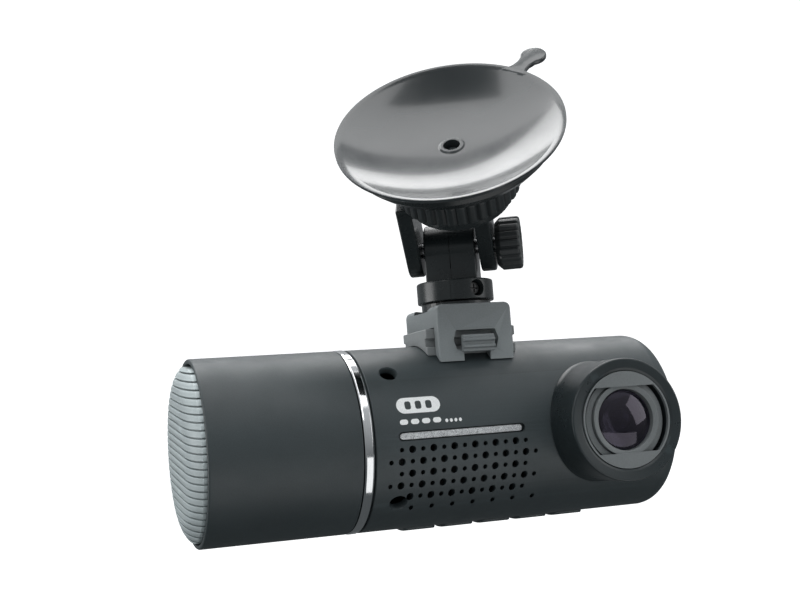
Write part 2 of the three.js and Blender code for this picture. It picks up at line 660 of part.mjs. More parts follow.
// ---- Parts list ---------------------------------------------------------------------------
place(cup, "suction_cup", suctionCup(), FINISHES.rubber());
place(cup, "cup_pin", cupPin(), FINISHES.mountBlack());
place(cup, "backing_dome", backingDome(), FINISHES.mountBlack());
place(cup, "twist_lock_ring", lockRing(), FINISHES.clipGrey());
place(arm, "fork", fork(), FINISHES.mountBlack());
place(arm, "clamp_bolt", clampBolt(), FINISHES.steel());
place(arm, "clamp_knob", clampKnob(), FINISHES.mountBlack());
place(arm, "clamp_nut", clampNut(), FINISHES.steel());
place(mount, "stem", stem(), FINISHES.mountBlack());
place(mount, "collar_screw", collarScrew(), FINISHES.steel());

const bodyParts = [
  ["clip_frame", clipFrame, "clipGrey"],
  ["pan_post", panPost, "mountBlack"],
  ["release_tab", releaseTab, "clipGrey"],
  ["camera_rail", cameraRail, "clipGrey"],
  ["front_shell", frontShell, "softBlack"],
  ["rear_cover", rearCover, "softBlack"],
  ["display_window", displayWindow, "glossBlack"],
  ["display_panel", displayPanel, "chip"],
  ["lens_housing", lensHousing, "softBlack"],
  ["lens_mask", lensMask, "mountBlack"],
  ["lens_barrel", lensBarrel, "mountBlack"],
  ["front_lens", frontLens, "glass"],
  ["sensor_board", sensorBoard, "board"],
  ["main_board", mainBoard, "board"],
  ["battery", battery, "battery"],
  ["speaker", speaker, "chip"],
  ["microphone", microphone, "steel"],
  ["button_board", buttonBoard, "board"],
  ["usb_socket", usbSocket, "steel"],
  ["card_slot", cardSlot, "steel"],
  ["memory_card", memoryCard, "chip"],
  ["status_strip", statusStrip, "silver"],
  ["chrome_ring", chromeRing, "chrome"],
  ["swivel_plate", swivelPlate, "softBlack"],
  ["friction_washer", frictionWasher, "steel"],
  ["retaining_ring", retainingRing, "steel"],
  ["swivel_shaft", swivelShaft, "mountBlack"],
  ["barrel_shell", barrelShell, "softBlack"],
  ["barrel_end_cap", barrelEndCap, "ribbedGrey"],
  ["cabin_bezel", cabinBezel, "glossBlack"],
  ["cabin_lens_barrel", cabinLensBarrel, "mountBlack"],
  ["cabin_lens", cabinLens, "glass"],
  ["cabin_board", cabinBoard, "board"],
];
for (const [name, make, look] of bodyParts) place(dashCamera, name, make(), FINISHES[look]());

for (let i = 0; i < BUTTON_COUNT; i++) {
  place(dashCamera, `button_${i + 1}`, buttonPad(i), FINISHES.softBlack());
}
for (const i of [0, 1]) {
  place(dashCamera, `shell_screw_${i + 1}`, shellScrew(i), FINISHES.steel());
}
LAMP_ANGLES.forEach((angle, i) => {
  place(dashCamera, `ir_lamp_${i + 1}`, lamp(angle), FINISHES.glossBlack());
});

// Moves the origin to the middle of the whole object's box.
dashCamera.updateMatrixWorld(true);
dashCamera.position.sub(new THREE.Box3().setFromObject(dashCamera, true).getCenter(new THREE.Vector3()));

export default dashCamera;
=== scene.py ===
"""Dash camera looks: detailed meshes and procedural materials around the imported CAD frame.

Pieces are built in millimetres in the design frame, where the round body's axis is X, the front
lens looks along -Y and Z is up, and are then scaled and moved into the row frame.
"""

import json

import math
from math import cos, pi, radians, sin, sqrt

import bmesh
import bpy
from mathutils import Matrix, Vector

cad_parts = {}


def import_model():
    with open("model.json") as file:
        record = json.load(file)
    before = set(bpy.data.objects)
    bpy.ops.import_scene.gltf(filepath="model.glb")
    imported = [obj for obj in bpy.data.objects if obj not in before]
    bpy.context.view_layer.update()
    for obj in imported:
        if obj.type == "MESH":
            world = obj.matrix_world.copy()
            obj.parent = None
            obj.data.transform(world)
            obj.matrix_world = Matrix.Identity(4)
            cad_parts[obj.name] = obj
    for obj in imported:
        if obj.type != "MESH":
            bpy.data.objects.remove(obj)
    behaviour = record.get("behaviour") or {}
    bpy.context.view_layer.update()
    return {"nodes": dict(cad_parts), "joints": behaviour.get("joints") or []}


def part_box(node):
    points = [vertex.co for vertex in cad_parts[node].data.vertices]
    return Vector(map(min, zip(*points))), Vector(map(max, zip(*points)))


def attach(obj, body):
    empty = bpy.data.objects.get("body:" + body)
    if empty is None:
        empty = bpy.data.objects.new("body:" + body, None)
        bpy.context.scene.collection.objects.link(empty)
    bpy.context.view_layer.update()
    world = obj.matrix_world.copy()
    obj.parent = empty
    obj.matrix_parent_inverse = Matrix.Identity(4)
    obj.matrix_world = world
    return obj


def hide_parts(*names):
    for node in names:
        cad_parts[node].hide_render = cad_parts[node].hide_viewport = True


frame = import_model()
MM = 0.001

# ---- Dimensions in millimetres ------------------------------------------------------------
GAP = 0.3
BODY_RADIUS = 22.5
BARREL_LEFT, SHELL_RIGHT = -56.6, 63.3
BORE_RADIUS = 20.7
RING_LEFT, RING_RIGHT = -20.3, -17.9
SHELL_LEFT = RING_RIGHT + GAP
BARREL_RIGHT = RING_LEFT - GAP
SPLIT_Y = 8.0
LENS_X, LENS_Z = 42.0, 0.5
LENS_FRONT = 33.6
HOUSING_RADIUS, HOUSING_BORE = 14.7, 11.7
MASK_FLAT = 7.9
GLASS_RADIUS = 7.1
HOLE_PITCH_X, HOLE_PITCH_Z = 2.63, 2.77
GRILLE_LEFT, GRILLE_TOP = -11.4, -2.6
BIG_HOLE, SMALL_HOLE = 0.88, 0.56
STRIP_LEFT, STRIP_RIGHT, STRIP_Z, STRIP_HEIGHT = -11.6, 19.8, 0.5, 1.7
SCREEN_X, SCREEN_FACE = 13.0, 18.4
BUTTON_COUNT, BUTTON_PITCH, BUTTON_FIRST_X = 5, 10.2, -1.7
SHELL_SCREW_ANGLES = (44, -42)  # degrees above straight ahead
CLIP_X, CLIP_Y = 12.6, -3.0
CLIP_WIDTH, CLIP_DEPTH, CLIP_BOTTOM, CLIP_TOP = 19.8, 23.2, 17.2, 31.8
PIVOT_Z = 47.1
CUP_SIDE, CUP_REACH = 4.6, 37.2
TAB_ANGLE = 54.0
CABIN_X = -40.0
COLLAR_SCREW_ANGLE, COLLAR_SCREW_Z = 42, 35.8
CARD_Y, CARD_LEFT, CARD_PROUD = 3.65, 48.6, 0.8
USB_X = 40.0
EAR_INNER, EAR_OUTER, EAR_RADIUS = 7.4, 11.2, 6.6
HUB_FRONT, RING_BACK = -12.4, -18.1  # the twist ring's faces, from the cup's rim
BODY_SEGMENTS = 160

# ---- Local frames -------------------------------------------------------------------------


def at(x, y, z):
    return Matrix.Translation((x, y, z))


def turned(degrees, axis):
    return Matrix.Rotation(radians(degrees), 4, axis)


FORWARD = turned(90, "X")  # local Z to -Y
SIDEWAYS = turned(90, "Y")  # local Z to +X
JOINTS = {joint["name"]: joint for joint in frame["joints"]}


def body_origin():
    """Where the design frame's origin lies in the row frame, in millimetres."""
    low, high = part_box("chrome_ring")
    middle = (low + high) / 2 / MM
    return Vector((middle.x - (RING_LEFT + RING_RIGHT) / 2, middle.y, middle.z))


ORIGIN = body_origin()
TILT_AXIS = Vector(JOINTS["mount_tilt"]["axis"])
CUP_AXIS = Vector(JOINTS["lock_turn"]["axis"])
PAN = math.atan2(TILT_AXIS.y, TILT_AXIS.x)
TILT = math.acos(CUP_AXIS.z)

DESIGN = Matrix.Translation(ORIGIN)
CLIP = DESIGN @ at(CLIP_X, CLIP_Y, 0)
MOUNT = CLIP @ Matrix.Rotation(PAN, 4, "Z")
ARM = MOUNT @ at(0, 0, PIVOT_Z) @ Matrix.Rotation(TILT, 4, "X")
CUP = ARM @ at(CUP_SIDE, 0, CUP_REACH)
ALONG = DESIGN @ SIDEWAYS
LENS = DESIGN @ at(LENS_X, 0, LENS_Z) @ FORWARD
CABIN = DESIGN @ at(CABIN_X, 0, 0) @ FORWARD.inverted()
TILT_LINE = ARM @ SIDEWAYS  # local Z runs along the tilt axis
COLLAR_SCREW = turned(COLLAR_SCREW_ANGLE, "Z") @ at(0, 0, COLLAR_SCREW_Z) @ FORWARD
CARD_TURN = at(0, CARD_Y, 0) @ SIDEWAYS

# ---- Camera -------------------------------------------------------------------------------
CAMERA_AZIMUTH, CAMERA_ELEVATION, CAMERA_ROLL = -19.17, -5.40, -4.24
CAMERA_DISTANCE, CAMERA_SIDE, CAMERA_RISE = 307.5, -3.89, 34.22
FOCAL_LENGTH = 54.8


def placed(name, data):
    thing = bpy.data.objects.new(name, data)
    bpy.context.scene.collection.objects.link(thing)
    return thing


def make_camera():
    azimuth, elevation, roll = map(radians, (CAMERA_AZIMUTH, CAMERA_ELEVATION, CAMERA_ROLL))
    back = Vector(
        (sin(azimuth) * cos(elevation), -cos(azimuth) * cos(elevation), sin(elevation))
    )
    right = Vector((0, 0, 1)).cross(back).normalized()
    up = back.cross(right)
    right, up = right * cos(roll) + up * sin(roll), up * cos(roll) - right * sin(roll)
    place = back * CAMERA_DISTANCE + right * CAMERA_SIDE + up * CAMERA_RISE
    data = bpy.data.cameras.new("camera")
    data.lens, data.sensor_width = FOCAL_LENGTH, 36
    camera = placed("camera", data)
    camera.matrix_world = Matrix.Translation((place + ORIGIN) * MM) @ Matrix(
        (right, up, back)
    ).transposed().to_4x4()
    bpy.context.scene.camera = camera


make_camera()

# ---- Materials ----------------------------------------------------------------------------
MATERIALS = {}


class Nodes:
    """A short way to wire a material's nodes."""

    def __init__(self, name):
        self.material = bpy.data.materials.new(name)
        self.material.use_nodes = True
        self.tree = self.material.node_tree
        self.shader = self.tree.nodes["Principled BSDF"]
        self.coordinates = self.tree.nodes.new("ShaderNodeTexCoord").outputs["Object"]
        self.height = None
        MATERIALS[name] = self.material

    def link(self, source, target):
        self.tree.links.new(source, target)

    def fill(self, socket, value):
        """Links a socket to another node's output, or sets its value."""
        if hasattr(value, "is_linked"):
            self.link(value, socket)
        elif socket.type == "RGBA" and len(value) == 3:
            socket.default_value = (*value, 1)
        else:
            socket.default_value = value

    def node(self, kind, **inputs):
        made = self.tree.nodes.new("ShaderNode" + kind)
        for name, value in inputs.items():
            self.fill(made.inputs[name], value)
        return made

    def value(self, **values):
        for name, value in values.items():
            self.fill(self.shader.inputs[name.replace("_", " ")], value)

    def noise(self, scale, detail=3.0, roughness=0.5, stretch=(1, 1, 1)):
        place = self.node("Mapping", Scale=stretch, Vector=self.coordinates).outputs["Vector"]
        made = self.node("TexNoise", Scale=scale, Detail=detail, Roughness=roughness, Vector=place)
        return made.outputs["Fac"]

    def cells(self, scale, feature="F1", output="Distance"):
        made = self.node("TexVoronoi", Scale=scale, Vector=self.coordinates)
        made.feature = feature
        return made.outputs[output]

    def ramp(self, factor, stops):
        made = self.node("ValToRGB", Fac=factor)
        elements = made.color_ramp.elements
        while len(elements) < len(stops):
            elements.new(0.5)
        for element, (position, colour) in zip(elements, stops):
            element.position = position
            element.color = (*colour, 1)
        return made.outputs["Color"]

    def remap(self, factor, low, high, source=(0.3, 0.7)):
        made = self.node("MapRange", Value=factor)
        ends = zip(("From Min", "From Max", "To Min", "To Max"), (*source, low, high))
        for name, value in ends:
            made.inputs[name].default_value = value
        return made.outputs["Result"]

    def edges(self):
        """How scuffed a convex edge is, together with the highlight painted on it, from the mesh's own
        curvature.
        """
        return self.node("NewGeometry").outputs["Pointiness"]

    def mix(self, factor, first, second):
        made = self.node("Mix")
        made.data_type = "RGBA"
        for place, value in ((0, factor), (6, first), (7, second)):
            self.fill(made.inputs[place], value)
        return made.outputs[2]

    def bump(self, height, strength, distance=0.0002):
        made = self.node("Bump", Strength=strength, Distance=distance, Height=height)
        if self.height is not None:
            self.link(self.height, made.inputs["Normal"])
        self.height = made.outputs["Normal"]
        self.link(self.height, self.shader.inputs["Normal"])


def tinted(colour, share):
    return tuple(max(0.0, channel * share) for channel in colour)


def plastic(name, colour, roughness, grain=2600, grain_strength=0.25, spread=0.12, edge_scuff_and_sheen=0.35, **values):
    """Moulded plastic: fine spark-eroded grain, faint mottling, and convex edges lightened both as scuffing
    and as a painted highlight.
    """
    nodes = Nodes(name)
    mottle = nodes.noise(55, 4, 0.6)
    base = nodes.ramp(mottle, [(0.3, tinted(colour, 1 - spread)), (0.7, tinted(colour, 1 + spread))])
    fine = nodes.noise(grain, 2, 0.6)
    speckled = nodes.mix(nodes.remap(fine, 0.0, 0.22), base, tinted(colour, 1.9))
    # Convex edges are lightened: partly scuffing, partly a painted highlight where edges catch the light.
    edge_scuff_and_highlight = nodes.ramp(nodes.edges(), [(0.5, (0, 0, 0)), (0.58, (1, 1, 1))])
    scuff_and_highlight_share = nodes.mix(edge_scuff_and_sheen, (0, 0, 0), edge_scuff_and_highlight)
    nodes.value(
        Base_Color=nodes.mix(scuff_and_highlight_share, speckled, tinted(colour, 2.6)),
        Roughness=nodes.remap(nodes.noise(130, 5, 0.65), roughness * 0.86, roughness * 1.16),
        **values,
    )
    nodes.bump(fine, grain_strength, 0.00006)
    nodes.bump(nodes.noise(220, 2), 0.06, 0.0001)
    return nodes


def metal(name, colour, roughness, stretch=(1, 1, 1), scale=900, strength=0.1, **values):
    """Metal with fine lines from its finishing and faint handling marks."""
    nodes = Nodes(name)
    lines = nodes.noise(scale, 3, 0.6, stretch)
    base = nodes.ramp(lines, [(0.25, tinted(colour, 0.86)), (0.75, tinted(colour, 1.05))])
    rough = nodes.remap(nodes.noise(90, 5, 0.7), roughness * 0.8, roughness * 1.5)
    nodes.value(Base_Color=base, Roughness=rough, Metallic=1.0, **values)
    nodes.bump(lines, strength, 0.00004)
    return nodes


def make_materials():
    plastic("body_black", (0.029, 0.038, 0.041), 0.46, grain=3400, Specular_IOR_Level=0.5)
    plastic("mount_black", (0.013, 0.017, 0.018), 0.27, grain=1500, grain_strength=0.06, edge_scuff_and_sheen=0.2)
    plastic("tube_black", (0.015, 0.021, 0.023), 0.30, grain=3400, grain_strength=0.12, edge_scuff_and_sheen=0.5)
    plastic("knob_black", (0.026, 0.030, 0.031), 0.42, grain=1800, grain_strength=0.15, edge_scuff_and_sheen=0.3)
    plastic("clip_grey", (0.150, 0.166, 0.170), 0.40, grain=2600, grain_strength=0.2)
    plastic("rail_grey", (0.15, 0.16, 0.162), 0.42, grain=2600, grain_strength=0.2)
    # Painted shade: the twist ring's grey is darkened to near-black for the shadow it lies in between the
    # cup and the fork.
    plastic("grip_grey", (0.013, 0.017, 0.018), 0.42, grain=2600, grain_strength=0.15)
    plastic("ribbed_grey", (0.29, 0.33, 0.335), 0.48, grain=3000, grain_strength=0.2)
    plastic("mask_grey", (0.125, 0.137, 0.140), 0.42, grain=3200, grain_strength=0.12, edge_scuff_and_sheen=0.1)
    plastic("bezel_grey", (0.06, 0.066, 0.068), 0.36, grain=3200, grain_strength=0.1, edge_scuff_and_sheen=0.15)
    plastic("chip_black", (0.02, 0.021, 0.022), 0.42, grain=1800, grain_strength=0.15)
    # Painted shade: a near-black for parts deep in holes and behind the glass and grille, standing for the
    # shade there.
    plastic("recess_shade_black", (0.008, 0.009, 0.010), 0.5, grain=1800, grain_strength=0.1, edge_scuff_and_sheen=0.0)
    plastic("print_white", (0.80, 0.82, 0.82), 0.5, grain=4200, grain_strength=0.12, spread=0.03, edge_scuff_and_sheen=0.0)
    plastic("gloss_black", (0.012, 0.013, 0.014), 0.07, 900, 0.01, edge_scuff_and_sheen=0.0, Coat_Weight=0.5)
    metal("steel", (0.42, 0.43, 0.44), 0.3)
    metal("ring_chrome", (0.86, 0.87, 0.88), 0.07, stretch=(24, 1, 1), scale=500, strength=0.05)
    metal("cell_silver", (0.55, 0.56, 0.57), 0.34, scale=300)
    metal("contact_gold", (0.83, 0.62, 0.26), 0.25)
    sparkle()
    rubber()
    glass()
    circuit()


def sparkle():
    """Metallic foil whose small facets glint one by one."""
    nodes = Nodes("strip_silver")
    facets = nodes.cells(5200, output="Color")
    tone = nodes.ramp(facets, [(0.15, (0.50, 0.52, 0.53)), (0.8, (0.92, 0.94, 0.95))])
    nodes.value(Base_Color=tone, Roughness=nodes.remap(nodes.noise(900, 3), 0.25, 0.45), Metallic=0.75)
    nodes.bump(facets, 0.55, 0.00012)


def rubber():
    """Glossy smoke-grey vinyl with slow ripples."""
    nodes = Nodes("clear_rubber")
    depth = nodes.noise(38, 3)
    tone = nodes.ramp(depth, [(0.3, (0.028, 0.033, 0.035)), (0.7, (0.040, 0.046, 0.048))])
    nodes.value(Base_Color=tone, Roughness=nodes.remap(nodes.noise(70, 5, 0.7), 0.16, 0.26))
    nodes.value(Coat_Weight=0.5, Coat_Roughness=0.1, Specular_IOR_Level=0.75)
    nodes.bump(nodes.noise(60, 2), 0.10, 0.0006)
    nodes.bump(nodes.noise(1400, 2), 0.03, 0.00005)


def glass():
    """Coated clear front element with a violet bloom, and a dark coated inner element."""
    for name, low, high, clear in (
        ("lens_glass", (0.16, 0.16, 0.20), (0.24, 0.23, 0.29), 1.0),
        ("lens_inner", (0.006, 0.010, 0.010), (0.016, 0.022, 0.024), 0.0),
    ):
        nodes = Nodes(name)
        nodes.value(
            Base_Color=nodes.ramp(nodes.noise(90, 1), [(0.3, low), (0.7, high)]),
            Roughness=nodes.remap(nodes.noise(300, 4), 0.01, 0.03),
            Specular_IOR_Level=0.6,
            Specular_Tint=(0.86, 0.76, 1.0, 1),
            Coat_Weight=0.3,
            Coat_Roughness=0.02,
            Transmission_Weight=clear,
        )


def circuit():
    """Solder mask over copper tracks."""
    nodes = Nodes("circuit_green")
    tracks = nodes.ramp(nodes.cells(420, "DISTANCE_TO_EDGE"), [(0.04, (1, 1, 1)), (0.07, (0, 0, 0))])
    mask = nodes.mix(tracks, (0.014, 0.075, 0.035), (0.03, 0.15, 0.07))
    nodes.value(Base_Color=mask, Roughness=nodes.remap(nodes.noise(800, 3), 0.3, 0.5))
    nodes.bump(tracks, 0.3, 0.00005)


make_materials()

# ---- Mesh helpers -------------------------------------------------------------------------


def new_object(name, points, faces):
    mesh = bpy.data.meshes.new(name)
    mesh.from_pydata([tuple(p) for p in points], [], faces)
    mesh.validate()
    work = bmesh.new()
    work.from_mesh(mesh)
    bmesh.ops.remove_doubles(work, verts=work.verts, dist=1e-5)
    bmesh.ops.recalc_face_normals(work, faces=work.faces)
    work.to_mesh(mesh)
    work.free()
    return placed(name, mesh)


def rounded(corners, steps=5, loop=True):
    """A polyline with its corners filleted. A corner is (a, b) or (a, b, radius)."""
    path = []
    count = len(corners)
    for i, item in enumerate(corners):
        here = Vector(item[:2])
        radius = item[2] if len(item) > 2 else 0
        if radius == 0 or (not loop and i in (0, count - 1)):
            path.append(tuple(here))
            continue
        before = Vector(corners[i - 1][:2]) - here
        after = Vector(corners[(i + 1) % count][:2]) - here
        half = before.angle(after) / 2
        reach = min(radius / math.tan(half), before.length * 0.49, after.length * 0.49)
        start, end = here + before.normalized() * reach, here + after.normalized() * reach
        blend = min(1.0, reach * math.tan(half) / radius) * (1 / sin(half) - 1) * radius
        middle = here + (before.normalized() + after.normalized()).normalized() * blend
        control = middle * 2 - (start + end) / 2
        for step in range(steps + 1):
            t = step / steps
            path.append(tuple(start * (1 - t) ** 2 + control * 2 * t * (1 - t) + end * t * t))
    return path


def lathe(name, profile, segments=128, shape=None):
    """Turns a profile of (radius, height) about Z. It closes on itself, or runs from pole to pole.
    shape(angle, radius, height) may give each point its own radius and height."""
    on_axis = [radius < 1e-6 for radius, _ in profile]
    open_ended = on_axis[0] and on_axis[-1]
    points, rings, faces = [], [], []
    for (radius, height), pole in zip(profile, on_axis):
        if pole:
            rings.append([len(points)] * segments)
            points.append((0, 0, height))
            continue
        rings.append(list(range(len(points), len(points) + segments)))
        for i in range(segments):
            angle = 2 * pi * i / segments
            r, h = shape(angle, radius, height) if shape else (radius, height)
            points.append((r * cos(angle), r * sin(angle), h))
    pairs = list(zip(rings, rings[1:]))
    if not open_ended:
        pairs.append((rings[-1], rings[0]))
    for low, high in pairs:
        for i in range(segments):
            j = (i + 1) % segments
            face = list(dict.fromkeys((low[i], low[j], high[j], high[i])))
            if len(face) > 2:
                faces.append(face)
    return new_object(name, points, faces)


def prism(name, outline, low, high):
    """An outline of (x, y) standing from one height to another."""
    count = len(outline)
    points = [(x, y, low) for x, y in outline] + [(x, y, high) for x, y in outline]
    sides = [(i, (i + 1) % count, (i + 1) % count + count, i + count) for i in range(count)]
    return new_object(name, points, [list(range(count)), list(range(count, 2 * count)), *sides])


def rectangle(width, height, corner=0.0, centre=(0, 0), steps=5):
    (x, y), w, h = centre, width / 2, height / 2
    corners = [(x - w, y - h), (x + w, y - h), (x + w, y + h), (x - w, y + h)]
    return rounded([(*c, corner) for c in corners], steps) if corner else corners


def block(name, xs, ys, zs):
    outline = [(xs[0], ys[0]), (xs[1], ys[0]), (xs[1], ys[1]), (xs[0], ys[1])]
    return prism(name, outline, zs[0], zs[1])


def rod(name, radius, low, high, segments=32):
    return lathe(name, [(0, low), (radius, low), (radius, high), (0, high)], segments)


def moved(thing, matrix):
    thing.data.transform(matrix)
    if matrix.is_negative:
        thing.data.flip_normals()
    return thing


def toward(direction):
    return Vector((0, 0, 1)).rotation_difference(Vector(direction)).to_matrix().to_4x4()



def joined(name, things):
    """One object out of several, with their meshes side by side."""
    work = bmesh.new()
    for thing in things:
        work.from_mesh(thing.data)
        discard(thing)
    mesh = bpy.data.meshes.new(name)
    work.to_mesh(mesh)
    work.free()
    return placed(name, mesh)


def discard(thing):
    mesh = thing.data
    bpy.data.objects.remove(thing)
    bpy.data.meshes.remove(mesh)


def settle(thing):
    """Replaces a mesh by what its modifiers make of it."""
    graph = bpy.context.evaluated_depsgraph_get()
    mesh = bpy.data.meshes.new_from_object(thing.evaluated_get(graph))
    old = thing.data
    thing.modifiers.clear()
    thing.data = mesh
    bpy.data.meshes.remove(old)
    return thing


def combined(thing, others, operation="DIFFERENCE"):
    for other in others:
        modifier = thing.modifiers.new("shape", "BOOLEAN")
        modifier.operation, modifier.solver, modifier.object = operation, "EXACT", other
    settle(thing)
    for other in others:
        discard(other)
    return thing


def bevelled(thing, width, segments=3, angle=30):
    modifier = thing.modifiers.new("bevel", "BEVEL")
    modifier.width, modifier.segments = width, segments
    modifier.limit_method, modifier.angle_limit = "ANGLE", radians(angle)
    modifier.use_clamp_overlap = True
    modifier.miter_outer = "MITER_ARC"
    return settle(thing)


def finished(thing, matrix, material, body, nodes=(), crease=32, weighted=True):
    """Moves a piece into the row frame, smooths it, paints it and hangs it on its body."""
    moved(thing, Matrix.Scale(MM, 4) @ matrix)
    mesh = thing.data
    mesh.materials.clear()
    mesh.materials.append(MATERIALS[material])
    mesh.shade_smooth()
    mesh.set_sharp_from_angle(angle=radians(crease))
    if weighted:
        modifier = thing.modifiers.new("normals", "WEIGHTED_NORMAL")
        modifier.keep_sharp, modifier.weight = True, 80
        settle(thing)
    thing.data.validate()
    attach(thing, body)
    if nodes:
        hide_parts(*nodes)
    return thing


def round_normals(thing):
    """Gives the cut cylinder and its flat end their true normals, so no strip round a hole shows."""
    mesh = thing.data
    centre = ORIGIN * MM
    end = centre.x + (SHELL_RIGHT - 0.01) * MM
    normals = [Vector(corner.vector) for corner in mesh.corner_normals]
    for face in mesh.polygons:
        if face.normal.x > 0.5:
            for index in face.loop_indices:
                if mesh.vertices[mesh.loops[index].vertex_index].co.x > end:
                    normals[index] = Vector((1, 0, 0))
        out = Vector((0, face.center.y - centre.y, face.center.z - centre.z))
        if abs(out.length / MM - BODY_RADIUS) > 0.03 or face.normal.dot(out.normalized()) < 0.99:
            continue
        for index in face.loop_indices:
            point = mesh.vertices[mesh.loops[index].vertex_index].co
            normals[index] = Vector((0, point.y - centre.y, point.z - centre.z)).normalized()
    mesh.normals_split_custom_set(normals)


def wrapped(name, half_height, left, right, top, base, edge, middle=0.0, columns=48, rows=14):
    """A pad on the round body. half_height(x) is half its width along the arc, middle the angle
    of its centre line in degrees above straight ahead. Its face is round-edged, edge wide."""
    points, faces = [], []
    xs = [left + (right - left) * (0.5 - 0.5 * cos(pi * i / columns)) for i in range(columns + 1)]
    for layer in (0, 1):
        for x in xs:
            reach = max(half_height(x), 0.02)
            for j in range(rows + 1):
                share = -cos(pi * j / rows)
                inner = min(reach * (1 - abs(share)), x - left, right - x)
                t = min(1.0, inner / edge) if edge else 1.0
                lift = sqrt(max(0.0, 1 - (1 - t) ** 2))
                rim = top - min(edge, (top - base) * 0.7)
                radius = base if layer else rim + (top - rim) * lift
                angle = radians(middle) + reach * share / BODY_RADIUS
                points.append((x, -radius * cos(angle), radius * sin(angle)))
    stride, size = rows + 1, (rows + 1) * (columns + 1)
    for layer in (0, size):
        for i in range(columns):
            for j in range(rows):
                a = layer + i * stride + j
                faces.append([a, a + stride, a + stride + 1, a + 1])
    border = [i * stride for i in range(columns + 1)]
    border += [columns * stride + j for j in range(1, rows + 1)]
    border += [i * stride + rows for i in range(columns - 1, -1, -1)]
    border += [j for j in range(rows - 1, 0, -1)]
    for a, b in zip(border, border[1:] + border[:1]):
        faces.append([a, b, b + size, a + size])
    return new_object(name, points, faces)


def pill(left, right, half):
    """Half height along x of a round-ended bar."""

    def height(x):
        inside = min(x - left, right - x)
        return half if inside >= half else sqrt(max(0.0, half**2 - (half - inside) ** 2))

    return height


def soft_rectangle(left, right, half, corner):
    def height(x):
        inside = min(x - left, right - x)
        if inside >= corner:
            return half
        return half - corner + sqrt(max(0.0, corner**2 - (corner - inside) ** 2))

    return height


# ---- Round body ---------------------------------------------------------------------------
def housing(name):
    """The whole round housing, from the ring to the rounded lens end, as a thick wall."""
    profile = rounded([
        (BORE_RADIUS, SHELL_LEFT), (BODY_RADIUS, SHELL_LEFT, 0.25), (BODY_RADIUS, SHELL_RIGHT, 3.6),
        (0, SHELL_RIGHT), (0, SHELL_RIGHT - 2), (BORE_RADIUS, SHELL_RIGHT - 2, 1.8),
    ], 8)
    return moved(lathe(name, profile, BODY_SEGMENTS), SIDEWAYS)


def grille_holes():
    holes = []

    def drill(column, row, radius):
        x, z = GRILLE_LEFT + column * HOLE_PITCH_X, GRILLE_TOP - row * HOLE_PITCH_Z
        sides = 22 if radius == BIG_HOLE else 16
        hole = rod("hole", radius, 10, 26, sides)
        holes.append(moved(hole, at(x, 0, z) @ FORWARD))

    for row in range(5):
        for column in range(13):
            if (row, column) != (4, 0):
                drill(column, row, BIG_HOLE if (row + column) % 2 else SMALL_HOLE)
    for row in (1, 3):
        drill(-1, row, SMALL_HOLE)
        drill(13, row, SMALL_HOLE)
    for i in range(7):
        drill(1.35 + 2 * i, 5, SMALL_HOLE)
    return holes


def outward(degrees):
    return toward((0, -cos(radians(degrees)), sin(radians(degrees))))


def button_x(index):
    return BUTTON_FIRST_X + index * BUTTON_PITCH


def front_shell():
    shell = housing("front_shell_skin")
    combined(shell, [block("split", (-30, 70), (SPLIT_Y - 0.12, 40), (-40, 40))])
    lens = moved(rod("lens", 13.2, 10, 30, 64), at(LENS_X, 0, LENS_Z) @ FORWARD)
    usb = prism("usb", rectangle(9.0, 4.4, 1.2, (USB_X, 0)), 12, 30)
    card = moved(prism("card", rectangle(11.6, 1.5, 0.6), 50, 70), CARD_TURN)
    half = STRIP_HEIGHT / 2 + 0.22
    middle = (STRIP_LEFT + STRIP_RIGHT) / 2
    slot = rectangle(STRIP_RIGHT - STRIP_LEFT + 0.7, 2 * half, half, (middle, 0), 10)
    slot = moved(prism("slot", slot, 21.3, 30), at(0, 0, STRIP_Z) @ FORWARD)
    combined(shell, [lens, usb, card, slot])
    for angle in SHELL_SCREW_ANGLES:
        place = at(GRILLE_LEFT, 0, 0) @ outward(angle)
        recess = rounded([(0, 16), (2.0, 16), (2.0, 21.9), (2.35, 22.6), (2.35, 30), (0, 30)], 3)
        combined(shell, [moved(lathe("recess", recess, 36), place)])
    keys = []
    for index in range(BUTTON_COUNT):
        outline = rectangle(9.6, 7.0, 2.2, (button_x(index), 0), 6)
        keys.append(prism("button_hole", outline, -30, -10))
    combined(shell, [joined("keys", keys)])
    combined(shell, [joined("grille", grille_holes())])
    finished(shell, DESIGN, "body_black", "camera", ["front_shell"], 30, False)
    round_normals(shell)


def rear_cover():
    cover = housing("rear_cover_skin")
    front = block("split", (-30, 70), (-40, SPLIT_Y + 0.12), (-40, 40))
    low, high, face = SCREEN_X - 19.5, SCREEN_X + 19.5, SCREEN_FACE
    flat = rounded([(low, face, 1.2), (high, face, 1.2), (high + 2.2, 30), (low - 2.2, 30)], 5)
    flat = prism("flat", flat, -30, 30)
    backing = block("backing", (low - 1, high + 1), (16.2, face + 0.5), (-14.5, 14.5))
    inside = moved(rod("inside", 22.0, -30, 60, 96), SIDEWAYS)
    combined(backing, [inside], "INTERSECT")
    opening = prism("opening", rectangle(33, 22, 1.0, (SCREEN_X, 0)), -30, -5)
    seat = prism("seat", rectangle(35, 24, 1.6, (SCREEN_X, 0)), -30, 1.2 - face)
    for cutter in (opening, seat):
        moved(cutter, FORWARD)
    combined(cover, [front])
    combined(cover, [backing], "UNION")
    combined(cover, [flat, opening, seat])
    finished(cover, DESIGN, "body_black", "camera", ["rear_cover"], 30, False)
    round_normals(cover)


